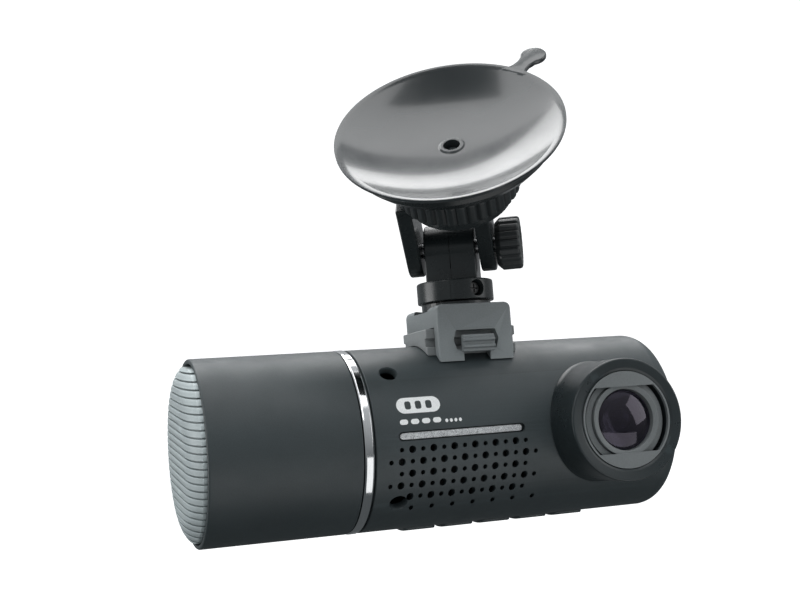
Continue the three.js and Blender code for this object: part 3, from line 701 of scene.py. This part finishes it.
def display():
    outline = rectangle(34.4, 23.4, 1.4, (SCREEN_X, 0), 8)
    pane = prism("display_glass", outline, -SCREEN_FACE, 0.9 - SCREEN_FACE)
    bevelled(moved(pane, FORWARD), 0.18, 3)
    finished(pane, DESIGN, "gloss_black", "camera", ["display_window"])


def status_strip():
    left, right = STRIP_LEFT, STRIP_RIGHT - 0.35
    shape = pill(left, right, STRIP_HEIGHT / 2)
    middle = math.degrees(STRIP_Z / BODY_RADIUS)
    strip = wrapped("status_strip_foil", shape, left, right, 22.3, 21.5, 0.25, middle, 96, 10)
    finished(strip, DESIGN, "strip_silver", "camera", ["status_strip"])


def front_print():
    """Plain marks where the real body has its printed badge: a pill, bars and a row of dashes."""
    top, base = BODY_RADIUS + 0.035, BODY_RADIUS - 0.2
    left, right, middle = -11.65, -0.75, 19.8
    shape = pill(left, right, 1.95)
    badge = wrapped("badge_pill", shape, left, right, top, base, 0, middle)
    finished(badge, DESIGN, "print_white", "camera")
    bars = []
    for x in (-9.6, -7.0, -4.4):
        shape = soft_rectangle(x, x + 1.5, 1.0, 0.5)
        bars.append(wrapped("bar", shape, x, x + 1.5, top + 0.02, base, 0, middle, 10, 8))
    finished(joined("badge_bars", bars), DESIGN, "body_black", "camera")
    # Two sizes of dash: first place, pitch, width, half height and angle above straight ahead.
    made = []
    for first, pitch, width, half, angle in ((-11.4, 2.75, 2.05, 0.62, 9.7), (-0.1, 1.15, 0.75, 0.45, 8.9)):
        for i in range(4):
            x = first + pitch * i
            shape = pill(x, x + width, half)
            made.append(wrapped("dash", shape, x, x + width, top, base, 0, angle, 12, 6))
    finished(joined("print_dashes", made), DESIGN, "print_white", "camera")


def buttons():
    for index in range(BUTTON_COUNT):
        x = button_x(index)
        shape = soft_rectangle(x - 4.5, x + 4.5, 3.2, 2.0)
        pad = wrapped(f"button_cap_{index + 1}", shape, x - 4.5, x + 4.5, 23.1, 20.6, 0.7, -90, 36, 18)
        node = f"button_{index + 1}"
        finished(pad, DESIGN, "body_black", node, [node])


# ---- Front lens ---------------------------------------------------------------------------
def saddle(radius, angle, gap):
    """How far in front of the axis the body's skin lies, at a point beside the lens axis."""
    height = LENS_Z + radius * sin(angle)
    return sqrt((BODY_RADIUS + gap) ** 2 - height**2)


def lens_housing():
    """The tube's foot follows the round body; heights under 10 stand above that skin."""
    front = LENS_FRONT
    path = rounded([
        (13.0, 16), (13.0, 0.10, 0.05), (15.05, 0.12, 0.1), (15.05, 0.42, 0.2), (14.75, 1.2),
        (14.7, 2.2), (HOUSING_RADIUS, front - 1.0), (HOUSING_RADIUS - 0.05, front, 0.55),
        (12.35, front - 0.32, 0.2), (HOUSING_BORE, front - 0.62, 0.2), (HOUSING_BORE, 16),
    ], 6)

    def follow(angle, radius, height):
        if height < 10:
            return radius, saddle(radius, angle, 0.0) + height
        return radius, height

    tube = lathe("lens_tube", path, 160, follow)
    finished(tube, LENS, "tube_black", "camera", ["lens_housing"])


def lens_mask():
    """A thin plate with a letterbox opening: round sides, flat above and below."""
    plate = rod("lens_letterbox", HOUSING_BORE - 0.12, LENS_FRONT - 1.35, LENS_FRONT - 0.42, 128)
    opening = rod("opening", 11.15, 20, 40, 128)
    bars = block("bars", (-20, 20), (-MASK_FLAT, MASK_FLAT), (20, 40))
    combined(opening, [bars], "INTERSECT")
    combined(plate, [opening])
    bevelled(plate, 0.1, 2)
    finished(plate, LENS, "mask_grey", "camera", ["lens_mask"])


def lens_rings():
    """Stepped rings round the glass, the cavity beyond them and the dark cone behind the glass."""
    front = LENS_FRONT
    path = rounded([
        (0, 14), (HOUSING_BORE - 0.2, 14), (HOUSING_BORE - 0.2, front - 5.4, 0.2),
        (10.5, front - 5.4, 0.3), (10.4, front - 1.75, 0.25), (8.85, front - 1.62, 0.08),
        (8.85, front - 2.3), (8.65, front - 2.3), (8.65, front - 0.75, 0.15),
        (7.35, front - 1.0, 0.12), (7.2, front - 3.6, 0.1), (6.9, front - 3.75, 0.1),
        (6.7, front - 4.5), (0, front - 4.5),
    ], 4)
    rings = lathe("lens_barrel_rings", path, 128)
    finished(rings, LENS, "mask_grey", "camera", ["lens_barrel"])
    cone = rounded([
        (0, front - 4.4), (6.65, front - 4.4), (6.65, front - 3.75, 0.1), (5.6, front - 3.85, 0.1),
        (5.5, front - 4.05), (4.4, front - 4.1, 0.1), (4.3, front - 3.95), (3.3, front - 4.0, 0.1),
        (3.2, front - 3.6, 0.1), (2.5, front - 3.55, 0.1), (2.3, front - 3.9), (0, front - 3.9),
    ], 3)
    # The cone behind the glass is painted near-black as the shade inside the lens.
    finished(lathe("lens_cone", cone, 96), LENS, "recess_shade_black", "camera")
    bead = [(0, front - 3.95), (2.25, front - 3.95)]
    bead += [(2.25 * (1 - t / 10), front - 3.9 + 0.65 * (1 - (1 - t / 10) ** 2)) for t in range(10)]
    bead.append((0, front - 3.25))
    finished(lathe("inner_lens", bead, 64), LENS, "lens_inner", "camera")


def front_glass():
    front = LENS_FRONT
    rise, rim = 1.45, front - 2.1
    dome = []
    for step in range(24):
        share = 1 - step / 24
        dome.append(((GLASS_RADIUS - 0.15) * share, rim + rise * (1 - share**2)))
    dome.append((0, rim + rise))
    path = [(0, front - 3.1), (GLASS_RADIUS, front - 3.1), (GLASS_RADIUS, rim - 0.12), *dome]
    finished(lathe("front_glass", path, 128), LENS, "lens_glass", "camera", ["front_lens"], 40, False)


# ---- Chrome ring and barrel ---------------------------------------------------------------
def chrome_ring():
    path = rounded([
        (17, RING_LEFT), (BODY_RADIUS - 0.15, RING_LEFT, 0.1),
        (BODY_RADIUS + 0.1, RING_LEFT + 0.35, 0.2), (BODY_RADIUS + 0.1, RING_RIGHT - 0.55, 0.2),
        (BODY_RADIUS - 0.25, RING_RIGHT, 0.1), (17, RING_RIGHT),
    ], 4)
    finished(lathe("chrome_band", path, 192), ALONG, "ring_chrome", "camera", ["chrome_ring"])


def barrel_shell():
    left = BARREL_LEFT
    path = rounded([
        (6.3, BARREL_RIGHT - 2), (BORE_RADIUS, BARREL_RIGHT - 2), (BORE_RADIUS, left + 2.8),
        (21.45, left + 2.8), (21.45, left, 0.2), (BODY_RADIUS, left, 0.75),
        (BODY_RADIUS, BARREL_RIGHT, 0.25), (6.3, BARREL_RIGHT),
    ], 6)
    barrel = moved(lathe("barrel_skin", path, BODY_SEGMENTS), SIDEWAYS)
    hole = moved(rod("hole", 9.85, 10, 30, 72), at(CABIN_X, 0, 0) @ FORWARD.inverted())
    combined(barrel, [hole])
    finished(barrel, DESIGN, "body_black", "barrel", ["barrel_shell"], 30, False)
    round_normals(barrel)


def end_cap():
    """A square-shouldered dome crossed by straight ribs, as one height field over (Y, Z)."""
    radius, apex, edge, back = 21.05, -60.1, -57.4, -54.2
    pitch, depth, tilt, squareness = 1.7, 0.55, 7, 8
    # Across one rib: place in the pitch, share of the groove's depth.
    section = [
        (-0.5, 1.0), (-0.44, 1.0), (-0.41, 0.5), (-0.38, 0.12), (-0.33, 0.01),
        (0.0, 0.0), (0.33, 0.01), (0.38, 0.12), (0.41, 0.5), (0.44, 1.0),
    ]
    rows = [((rib + place) * pitch, depth * share) for rib in range(-12, 13) for place, share in section]
    rows.append((12.5 * pitch, depth))
    half = 14
    shares = [sin(pi / 2 * j / half) for j in range(-half, half + 1)]
    points, faces = [], []
    for z, sink in rows:
        z = max(-radius + 0.6, min(radius - 0.6, z))
        reach = sqrt((radius - sink) ** 2 - z**2)
        points.append((back, -reach, z))
        for share in shares:
            y = reach * share
            away = min(1.0, sqrt(y * y + z * z) / (radius - sink))
            points.append((apex + (edge - apex) * away**squareness + sink, y, z))
        points.append((back, reach, z))
    width = len(shares) + 2
    for i in range(len(rows) - 1):
        start = i * width
        for j in range(width - 1):
            a = start + j
            faces.append([a, a + 1, a + 1 + width, a + width])
        faces.append([start, start + width, start + 2 * width - 1, start + width - 1])
    last = (len(rows) - 1) * width
    faces.append(list(range(width)))
    faces.append(list(range(last, last + width)))
    cap = new_object("ribbed_cap", points, faces)
    finished(cap, DESIGN @ turned(tilt, "X"), "ribbed_grey", "barrel", ["barrel_end_cap"], 35, False)


def cabin_camera():
    face = 24.2
    path = [(5, 15.6), (9.6, 15.6), (9.6, face - 0.35, 0.3), (8.9, face, 0.3)]
    path = rounded([*path, (5.7, face, 0.3), (5, face - 0.9, 0.1)], 5)
    bezel = lathe("cabin_bezel_ring", path, 96)
    circle = 6.9
    spots = [(circle * cos(radians(a)), circle * sin(radians(a))) for a in (45, 135, 225, 315)]
    holes = [moved(rod("hole", 1.35, 10, 30, 28), at(x, y, 0)) for x, y in spots]
    combined(bezel, [joined("holes", holes)])
    bevelled(bezel, 0.08, 2, 50)
    finished(bezel, CABIN, "gloss_black", "barrel", ["cabin_bezel"])
    for index, (x, y) in enumerate(spots):
        path = [(0, 15), (1.1, 15), (1.1, 22.9)]
        path += [(1.1 * cos(t * pi / 16), 22.9 + 0.9 * sin(t * pi / 16)) for t in range(1, 8)] + [(0, 23.8)]
        lamp = moved(lathe(f"infrared_lamp_{index + 1}", path, 28), at(x, y, 0))
        finished(lamp, CABIN, "gloss_black", "barrel", [f"ir_lamp_{index + 1}"])
    rings = [(0.01, 15), (4.7, 15), (4.7, 23.2, 0.3), (4.1, 23.0, 0.1), (3.9, 22.0)]
    rings = rounded([*rings, (3.8, 22.0), (3.8, 21.0), (0.01, 21.0)], 4)
    ring = lathe("cabin_lens_ring", rings, 72)
    finished(ring, CABIN, "bezel_grey", "barrel", ["cabin_lens_barrel"])
    reach, rim, rise = 3.7, 21.5, 1.3
    dome = [(0, 21.3), (reach, 21.3)]
    for step in range(12):
        share = 1 - step / 12
        dome.append((reach * share, rim + rise * (1 - share**2)))
    dome.append((0, rim + rise))
    finished(lathe("cabin_glass", dome, 72), CABIN, "lens_glass", "barrel", ["cabin_lens"])


# ---- Clip ---------------------------------------------------------------------------------
def clip_frame():
    """The cage's outer edges are rounded first, then its openings are cut."""
    below = 3
    face = rectangle(
        CLIP_WIDTH, CLIP_TOP - CLIP_BOTTOM + below, 1.6, (0, (CLIP_TOP + CLIP_BOTTOM - below) / 2), 8
    )
    cage = moved(prism("clip_cage", face, -CLIP_DEPTH / 2, CLIP_DEPTH / 2), FORWARD)
    bevelled(cage, 0.55, 4, 50)
    channel = block("channel", (-20, 20), (-8.95, 8.95), (CLIP_BOTTOM - 5, 26.3))
    foot = block("foot", (-20, 20), (-20, 20), (CLIP_BOTTOM - 6, CLIP_BOTTOM))
    recess = rod("recess", 11, CLIP_TOP - 1.2, CLIP_TOP + 1, 96)
    post = rod("post", 3.4, 25, CLIP_TOP, 40)
    under = moved(rod("under", BODY_RADIUS + 0.4, -30, 30, 160), at(0, -CLIP_Y, 0) @ SIDEWAYS)
    half, slot, low, high = 6.0, 3.5, 20.4, 25.2
    middle = (low + high) / 2
    outline = rounded([
        (slot, CLIP_BOTTOM - 1), (slot, low, 0.3), (half - 0.8, low, 0.4), (half, middle, 0.8),
        (half - 0.8, high, 0.4), (0.8 - half, high, 0.4), (-half, middle, 0.8),
        (0.8 - half, low, 0.4), (-slot, low, 0.3), (-slot, CLIP_BOTTOM - 1),
    ], 4)
    window = moved(prism("window", outline, 6.5, 16), FORWARD)
    lips = []
    for side in (-1, 1):
        ys = sorted((side * 7.85, side * 9.45))
        lips.append(block("lip", (-CLIP_WIDTH / 2 + 0.5, CLIP_WIDTH / 2 - 0.5), ys, (22, 23.2)))
    combined(cage, [channel])
    combined(cage, [joined("lips", lips)], "UNION")
    combined(cage, [foot, recess, post, under, window])
    finished(cage, CLIP, "clip_grey", "clip", ["clip_frame"], 12, False)


def release_tab():
    face = CLIP_DEPTH / 2
    side = rounded([
        (face + 0.3, 19.7, 0.3), (face + 1.7, 19.7, 0.4), (face + 1.75, 20.5, 0.2),
        (face + 2.2, 20.75, 0.2), (face + 2.2, 21.2, 0.2), (face + 1.65, 21.5, 0.2),
        (face + 1.65, 22.1, 0.2), (face + 2.2, 22.4, 0.2), (face + 2.2, 22.85, 0.2),
        (face + 1.75, 23.1, 0.2), (face + 1.7, 23.9, 0.4), (face + 0.3, 23.9, 0.3),
    ], 3)
    head = prism("release_tab_head", side, -4.2, 4.2)
    bevelled(head, 0.2, 3, 50)
    moved(head, Matrix(((0, 0, 1, 0), (-1, 0, 0, 0), (0, 1, 0, 0), (0, 0, 0, 1))))
    arm = block("arm", (-3, 3), (-face - 1, -face + 2.2), (21, 23.6))
    combined(head, [bevelled(arm, 0.15, 2)], "UNION")
    finished(head, CLIP, "clip_grey", "release_tab", ["release_tab"], 40)


def camera_rail():
    bar = block("rail_block", (0.6, 24.4), (CLIP_Y - 8.6, CLIP_Y + 8.6), (15, 26))
    grooves = []
    for side in (CLIP_Y - 8.6, CLIP_Y + 8.6):
        grooves.append(block("groove", (-5, 30), (side - 1.2, side + 1.2), (21.6, 23.6)))
    under = moved(rod("under", BODY_RADIUS + 0.08, -10, 40, 160), SIDEWAYS)
    combined(bar, [under, *grooves])
    bevelled(bar, 0.3, 3, 35)
    finished(bar, DESIGN, "rail_grey", "camera", ["camera_rail"], 40)


# ---- Stem, fork, clamp --------------------------------------------------------------------
def stem():
    collar = rounded(
        [(6.0, 33), (9.74, 33, 0.3), (9.74, 38.35, 0.5), (0.01, 38.35), (0.01, 37.75), (6.0, 37.75)], 5
    )
    body = lathe("stem_body", collar, 128)
    post = prism("post", rectangle(13.0, 11.5, 0.5, steps=4), 37.9, PIVOT_Z)
    knuckle = lathe(
        "knuckle", rounded([(0.01, -6.5), (6.2, -6.5, 0.45), (6.2, 6.5, 0.45), (0.01, 6.5)], 5), 96
    )
    moved(knuckle, at(0, 0, PIVOT_Z) @ SIDEWAYS)
    combined(body, [post, knuckle], "UNION")
    bolt = moved(rod("bolt", 2.15, -20, 20, 32), at(0, 0, PIVOT_Z) @ SIDEWAYS)
    recess = rounded([(0.01, 5), (1.9, 5), (1.9, 9.2), (2.15, 9.8), (2.15, 12), (0.01, 12)], 3)
    screw = moved(lathe("screw", recess, 40), COLLAR_SCREW)
    seam = block("seam", (-0.09, 0.09), (-12, -5.55), (38.2, PIVOT_Z + 3))
    collar_seam = block("seam", (-0.09, 0.09), (-12, -9.55), (32.5, 38.5))
    knuckle_seam = moved(
        lathe("ring", [(6.02, -0.09), (8, -0.09), (8, 0.09), (6.02, 0.09)], 96),
        at(0, 0, PIVOT_Z) @ SIDEWAYS,
    )
    combined(body, [bolt, screw, seam, collar_seam, knuckle_seam])
    bevelled(body, 0.12, 2, 40)
    finished(body, MOUNT, "mount_black", "stem", ["stem"], 40)


def collar_screw():
    screw = lathe(
        "collar_grub_screw", rounded([(0.01, 6.4), (1.55, 6.4), (1.55, 8.2, 0.15), (0.01, 8.2)], 3), 28
    )
    wide, thin = (-1.1, 1.1), (-0.2, 0.2)
    combined(screw, [block("slot", wide, thin, (7.6, 9)), block("slot", thin, wide, (7.6, 9))])
    finished(screw, MOUNT @ COLLAR_SCREW, "chip_black", "stem", ["collar_screw"])


def fork():
    base = CUP_REACH + RING_BACK - GAP

    def ear(side):
        outline = [(-EAR_RADIUS, base - 0.5), (EAR_RADIUS, base - 0.5)]
        outline += [(EAR_RADIUS * cos(pi * t / 32), -EAR_RADIUS * sin(pi * t / 32)) for t in range(33)]
        low, high = sorted((side * EAR_INNER, side * EAR_OUTER))
        made = bevelled(prism("ear", outline, low, high), 0.55, 4, 50)
        # The outline's plane is (Y, Z) of the arm; its extrusion runs along X.
        return moved(made, Matrix(((0, 0, 1, 0), (1, 0, 0, 0), (0, 1, 0, 0), (0, 0, 0, 1))))

    plate = rounded([(0.01, base - 3), (13, base - 3, 0.8), (13, base, 0.3), (0.01, base)], 5)
    body = lathe("fork_body", plate, 128)
    top = CUP_REACH + HUB_FRONT
    hub = lathe("hub", [(8, base - 1), (10, base - 1), (10, top), (8, top)], 96)
    for thing in (body, hub):
        moved(thing, at(CUP_SIDE, 0, 0))
    wide, deep = (-EAR_OUTER, EAR_OUTER), (-EAR_RADIUS, EAR_RADIUS)
    bridge = bevelled(block("bridge", wide, deep, (base - 3, base - 0.2)), 0.5, 4)
    combined(body, [hub, bridge, ear(1), ear(-1)], "UNION")
    bore = moved(rod("bore", 2.15, -20, 20, 32), SIDEWAYS)
    seat = moved(rod("seat", 3.9, -EAR_OUTER - 1, 1.9 - EAR_OUTER, 48), SIDEWAYS)
    combined(body, [bore, seat])
    bevelled(body, 0.1, 2, 60)
    finished(body, ARM, "mount_black", "mount_base", ["fork"], 40)


def clamp_bolt():
    head = 0.4 - EAR_OUTER
    path = [(0.01, head), (3.5, head, 0.35), (3.5, head + 1.2), (1.85, head + 1.2)]
    path = rounded([*path, (1.85, 14, 0.2), (0.01, 14)], 4)
    bolt = lathe("clamp_bolt_body", path, 48)
    combined(bolt, [rod("socket", 1.7, head - 1, head + 0.8, 6)])
    finished(bolt, TILT_LINE, "steel", "mount_base", ["clamp_bolt"])


def scalloped(name, profile, teeth, depth, per_tooth, low_radius):
    """A turned part whose outer wall carries rounded grip teeth."""

    def shape(angle, radius, height):
        if radius < low_radius:
            return radius, height
        phase = (angle * teeth / (2 * pi)) % 1.0
        valley = max(0.0, cos(2 * pi * phase)) ** 1.6
        return radius - depth * valley * min(1.0, (radius - low_radius) / 0.3), height

    return lathe(name, profile, teeth * per_tooth, shape)


def clamp_knob():
    left, right = 11.6, 17.9
    path = rounded([
        (0.01, left + 2.9), (4.2, left + 2.9), (4.2, left, 0.15), (5.5, left, 0.2),
        (6.75, left + 1.35, 0.3), (6.75, right, 0.75), (4.6, right, 0.3), (4.1, right - 0.45, 0.3),
        (0.01, right - 0.45),
    ], 5)
    knob = scalloped("clamp_knob_grip", path, 18, 0.5, 12, 5.6)
    finished(knob, TILT_LINE, "knob_black", "clamp_knob", ["clamp_knob"], 45)


# ---- Suction cup --------------------------------------------------------------------------
def lock_ring():
    front, back = HUB_FRONT, RING_BACK
    path = [(10.3, back), (15.3, back, 0.7), (15.3, front, 0.7), (11.4, front, 0.2)]
    path = rounded([*path, (11.1, front - 0.4, 0.1), (10.3, front - 0.4)], 5)
    ring = scalloped("twist_ring_grip", path, 36, 0.5, 8, 14.2)
    # The ring's near-black grip is painted shade over its grey.
    finished(ring, CUP, "grip_grey", "lock_ring", ["twist_lock_ring"], 45)


def backing_dome():
    path = rounded([
        (6.4, -8.5), (12, -7.8, 1), (20, -5.4, 1), (24.4, -3.2, 0.1), (24.8, -4.4, 0.3),
        (22.5, -7, 3), (16, -10.9, 3), (12, -12.1, 1), (6.4, -12.1),
    ], 6)
    finished(lathe("cup_backing", path, 144), CUP, "mount_black", "mount_base", ["backing_dome"])


def suction_cup():
    """One smooth shallow dish with a raised lip round its middle hole, and its pull tab."""
    floor, dish, steps = -5.45, 5.4, 26
    hole, rim = 3.5, 26.9
    face = []
    for i in range(steps):
        radius = hole + (rim - hole) * i / (steps - 1)
        face.append((radius, floor + dish * (radius / 27.0) ** 2.6))
    lip = [(2.0, -12.6), (2.0, -5.0, 0.2), (2.8, -5.0, 0.4), (3.2, -5.42, 0.4), face[0]]
    lip = rounded(lip, 5, loop=False)
    back = rounded([
        (27.7, 0.0, 0.28), (27.7, -0.8, 0.3), (26.2, -1.7, 0.5), (20, -4.9, 3), (12, -7.3, 3),
        (6, -8, 0.6), (6, -12.6),
    ], 6, loop=False)
    cup = lathe("suction_cup_skin", [*lip, *face[1:], *back], 160)
    reach, size = 35.0, 3.3
    head = [(reach + size * cos(radians(a)), size * sin(radians(a))) for a in range(-135, 136, 9)]
    neck = rounded([(26.3, 3.6), (28.6, 2.2, 2.0), (30.6, 1.9, 2.0), head[-1]], 6, loop=False)[:-1]
    outline = [(x, -y) for x, y in neck] + head + neck[::-1]
    tab = bevelled(prism("tab", outline, -1.5, -0.1), 0.4, 4, 50)
    combined(cup, [moved(tab, turned(TAB_ANGLE, "Z"))], "UNION")
    finished(cup, CUP, "clear_rubber", "mount_base", ["suction_cup"], 40, False)


# ---- Sockets and card ---------------------------------------------------------------------
def usb_socket():
    low, high = 13.6, 21.8
    shell = prism("usb_shell", rectangle(8.4, 3.8, 1.0, (USB_X, 0)), low, high)
    combined(shell, [prism("mouth", rectangle(7.6, 3.0, 0.7, (USB_X, 0)), low + 1, 30)])
    bevelled(shell, 0.08, 2)
    finished(shell, DESIGN, "steel", "camera", ["usb_socket"])
    tongue = block("usb_tongue", (USB_X - 2.9, USB_X + 2.9), (-0.55, 0.25), (low + 0.9, high - 1))
    finished(bevelled(tongue, 0.1, 2), DESIGN, "chip_black", "camera")
    contacts = []
    for index in range(-2, 3):
        x = USB_X + index * 1.05
        pad = block("contact", (x - 0.22, x + 0.22), (-0.63, -0.5), (low + 2, high - 1.4))
        contacts.append(bevelled(pad, 0.04, 2))
    finished(joined("usb_contacts", contacts), DESIGN, "contact_gold", "camera")


def memory_card():
    left, right = CARD_LEFT, SHELL_RIGHT + CARD_PROUD
    outline = rectangle(right - left, 11.0, 0.5, ((left + right) / 2, 0))
    card = prism("memory_card_body", outline, CARD_Y - 0.4, CARD_Y + 0.4)
    ridge = block("ridge", (right - 1.3, right - 0.3), (-4.6, 4.6), (CARD_Y + 0.25, CARD_Y + 0.55))
    combined(card, [bevelled(ridge, 0.12, 2)], "UNION")
    swap = Matrix(((1, 0, 0, 0), (0, 0, 1, 0), (0, 1, 0, 0), (0, 0, 0, 1)))
    moved(bevelled(card, 0.1, 2), swap)
    finished(card, DESIGN, "chip_black", "memory_card", ["memory_card"])


# ---- Carried-over CAD nodes ---------------------------------------------------------------
CARRIED = {
    "mount_black": ("cup_pin", "pan_post", "swivel_shaft"),
    "steel": ("clamp_nut", "microphone", "card_slot", "friction_washer", "retaining_ring"),
    "chip_black": ("display_panel",),
    "circuit_green": ("sensor_board", "main_board", "button_board", "cabin_board"),
    "cell_silver": ("battery",),
    # The speaker, plate and shell screws lie deep in holes; their near-black is painted shade.
    "recess_shade_black": ("speaker", "swivel_plate", "shell_screw_1", "shell_screw_2"),
}


def paint_carried():
    for material, nodes in CARRIED.items():
        for node in nodes:
            mesh = frame["nodes"][node].data
            mesh.materials.clear()
            mesh.materials.append(MATERIALS[material])


for build in (
    front_shell, rear_cover, display, status_strip, front_print, buttons, lens_housing, lens_mask,
    lens_rings, front_glass, chrome_ring, barrel_shell, end_cap, cabin_camera, clip_frame,
    release_tab, camera_rail, stem, collar_screw, fork, clamp_bolt, clamp_knob, lock_ring,
    backing_dome, suction_cup, usb_socket, memory_card, paint_carried,
):
    build()

# ---- Studio -------------------------------------------------------------------------------
FLOOR_Z = -0.6


def seen_only_by(thing, ray):
    for kind in ("camera", "diffuse", "glossy", "transmission", "shadow"):
        setattr(thing, "visible_" + kind, kind == ray)


def studio():
    """A round pale floor that curves up into a wall and closes overhead."""
    path = rounded([(0, FLOOR_Z), (1.5, FLOOR_Z, 0.6), (1.5, 1.8, 0.6), (0, 1.8)], 16, loop=False)
    sweep = lathe("studio", path, 96)
    sweep.data.flip_normals()
    sweep.data.shade_smooth()
    nodes = Nodes("studio")
    tone = nodes.ramp(nodes.noise(6, 2), [(0.3, (0.93, 0.93, 0.93)), (0.7, (0.95, 0.95, 0.95))])
    nodes.value(Base_Color=tone, Roughness=0.9, Specular_IOR_Level=0.1)
    nodes.value(Emission_Color=(1, 1, 1, 1), Emission_Strength=0.72)
    sweep.data.materials.append(nodes.material)
    seen_only_by(sweep, "camera")


def aimed(place, target):
    """Stands at a place with local -Z towards the target."""
    turn = (target - Vector(place)).to_track_quat("-Z", "Y").to_matrix().to_4x4()
    return Matrix.Translation(place) @ turn


def softbox(name, place, size, power, spin=0.0):
    data = bpy.data.lights.new(name, "AREA")
    data.shape, data.size, data.size_y = "RECTANGLE", size[0], size[1]
    data.energy = power
    light = placed(name, data)
    light.matrix_world = aimed(place, Vector((0, 0, 0))) @ turned(spin, "Z")
    light.visible_camera = False


def flag(name, place, size):
    """A black card that only shows in reflections."""
    card = block(name, (-size[0] / 2, size[0] / 2), (-size[1] / 2, size[1] / 2), (-0.002, 0))
    target = Vector(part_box("suction_cup")[0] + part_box("suction_cup")[1]) / 2
    card.data.transform(aimed(place, target))
    nodes = Nodes(name)
    shade = nodes.ramp(nodes.noise(12, 2), [(0.3, (0.004, 0.004, 0.004)), (0.7, (0.006, 0.006, 0.006))])
    nodes.value(Base_Color=shade, Roughness=0.9, Specular_IOR_Level=0.0)
    card.data.materials.append(nodes.material)
    seen_only_by(card, "glossy")


def lights():
    softbox("rear_top", (0.0, 0.42, 0.62), (1.2, 0.4), 5.5)
    softbox("overhead", (-0.1, -0.25, 0.78), (1.1, 0.9), 5.0)
    softbox("upper_left", (-0.75, -0.65, 0.55), (0.4, 0.4), 1.5)
    softbox("left", (-1.0, 0.3, 0.02), (0.6, 0.6), 4.0)
    softbox("right", (0.95, -0.62, 0.22), (0.7, 0.7), 2.2, spin=25)
    softbox("low_front", (0.15, -0.45, -0.45), (0.8, 0.5), 1.2)
    flag("dark_card", (-0.165, -0.23, 0.455), (0.27, 0.30))
    flag("dark_bar", (0.095, 0.28, 0.39), (0.22, 0.04))


def world():
    made = bpy.data.worlds.new("room")
    made.use_nodes = True
    tree = made.node_tree
    coordinates = tree.nodes.new("ShaderNodeTexCoord").outputs["Generated"]
    split = tree.nodes.new("ShaderNodeSeparateXYZ")
    ramp = tree.nodes.new("ShaderNodeValToRGB")
    lift = tree.nodes.new("ShaderNodeMapRange")
    lift.inputs["From Min"].default_value = -1
    background = tree.nodes["Background"]
    tree.links.new(coordinates, split.inputs[0])
    tree.links.new(split.outputs["Z"], lift.inputs["Value"])
    tree.links.new(lift.outputs["Result"], ramp.inputs["Fac"])
    tree.links.new(ramp.outputs["Color"], background.inputs["Color"])
    elements = ramp.color_ramp.elements
    elements[0].position, elements[0].color = 0.25, (0.10, 0.11, 0.115, 1)
    elements[1].position, elements[1].color = 0.85, (0.62, 0.64, 0.66, 1)
    background.inputs["Strength"].default_value = 0.8
    bpy.context.scene.world = made


studio()
lights()
world()
bpy.context.scene.view_settings.view_transform = "Standard"
bpy.context.scene.view_settings.look = "None"
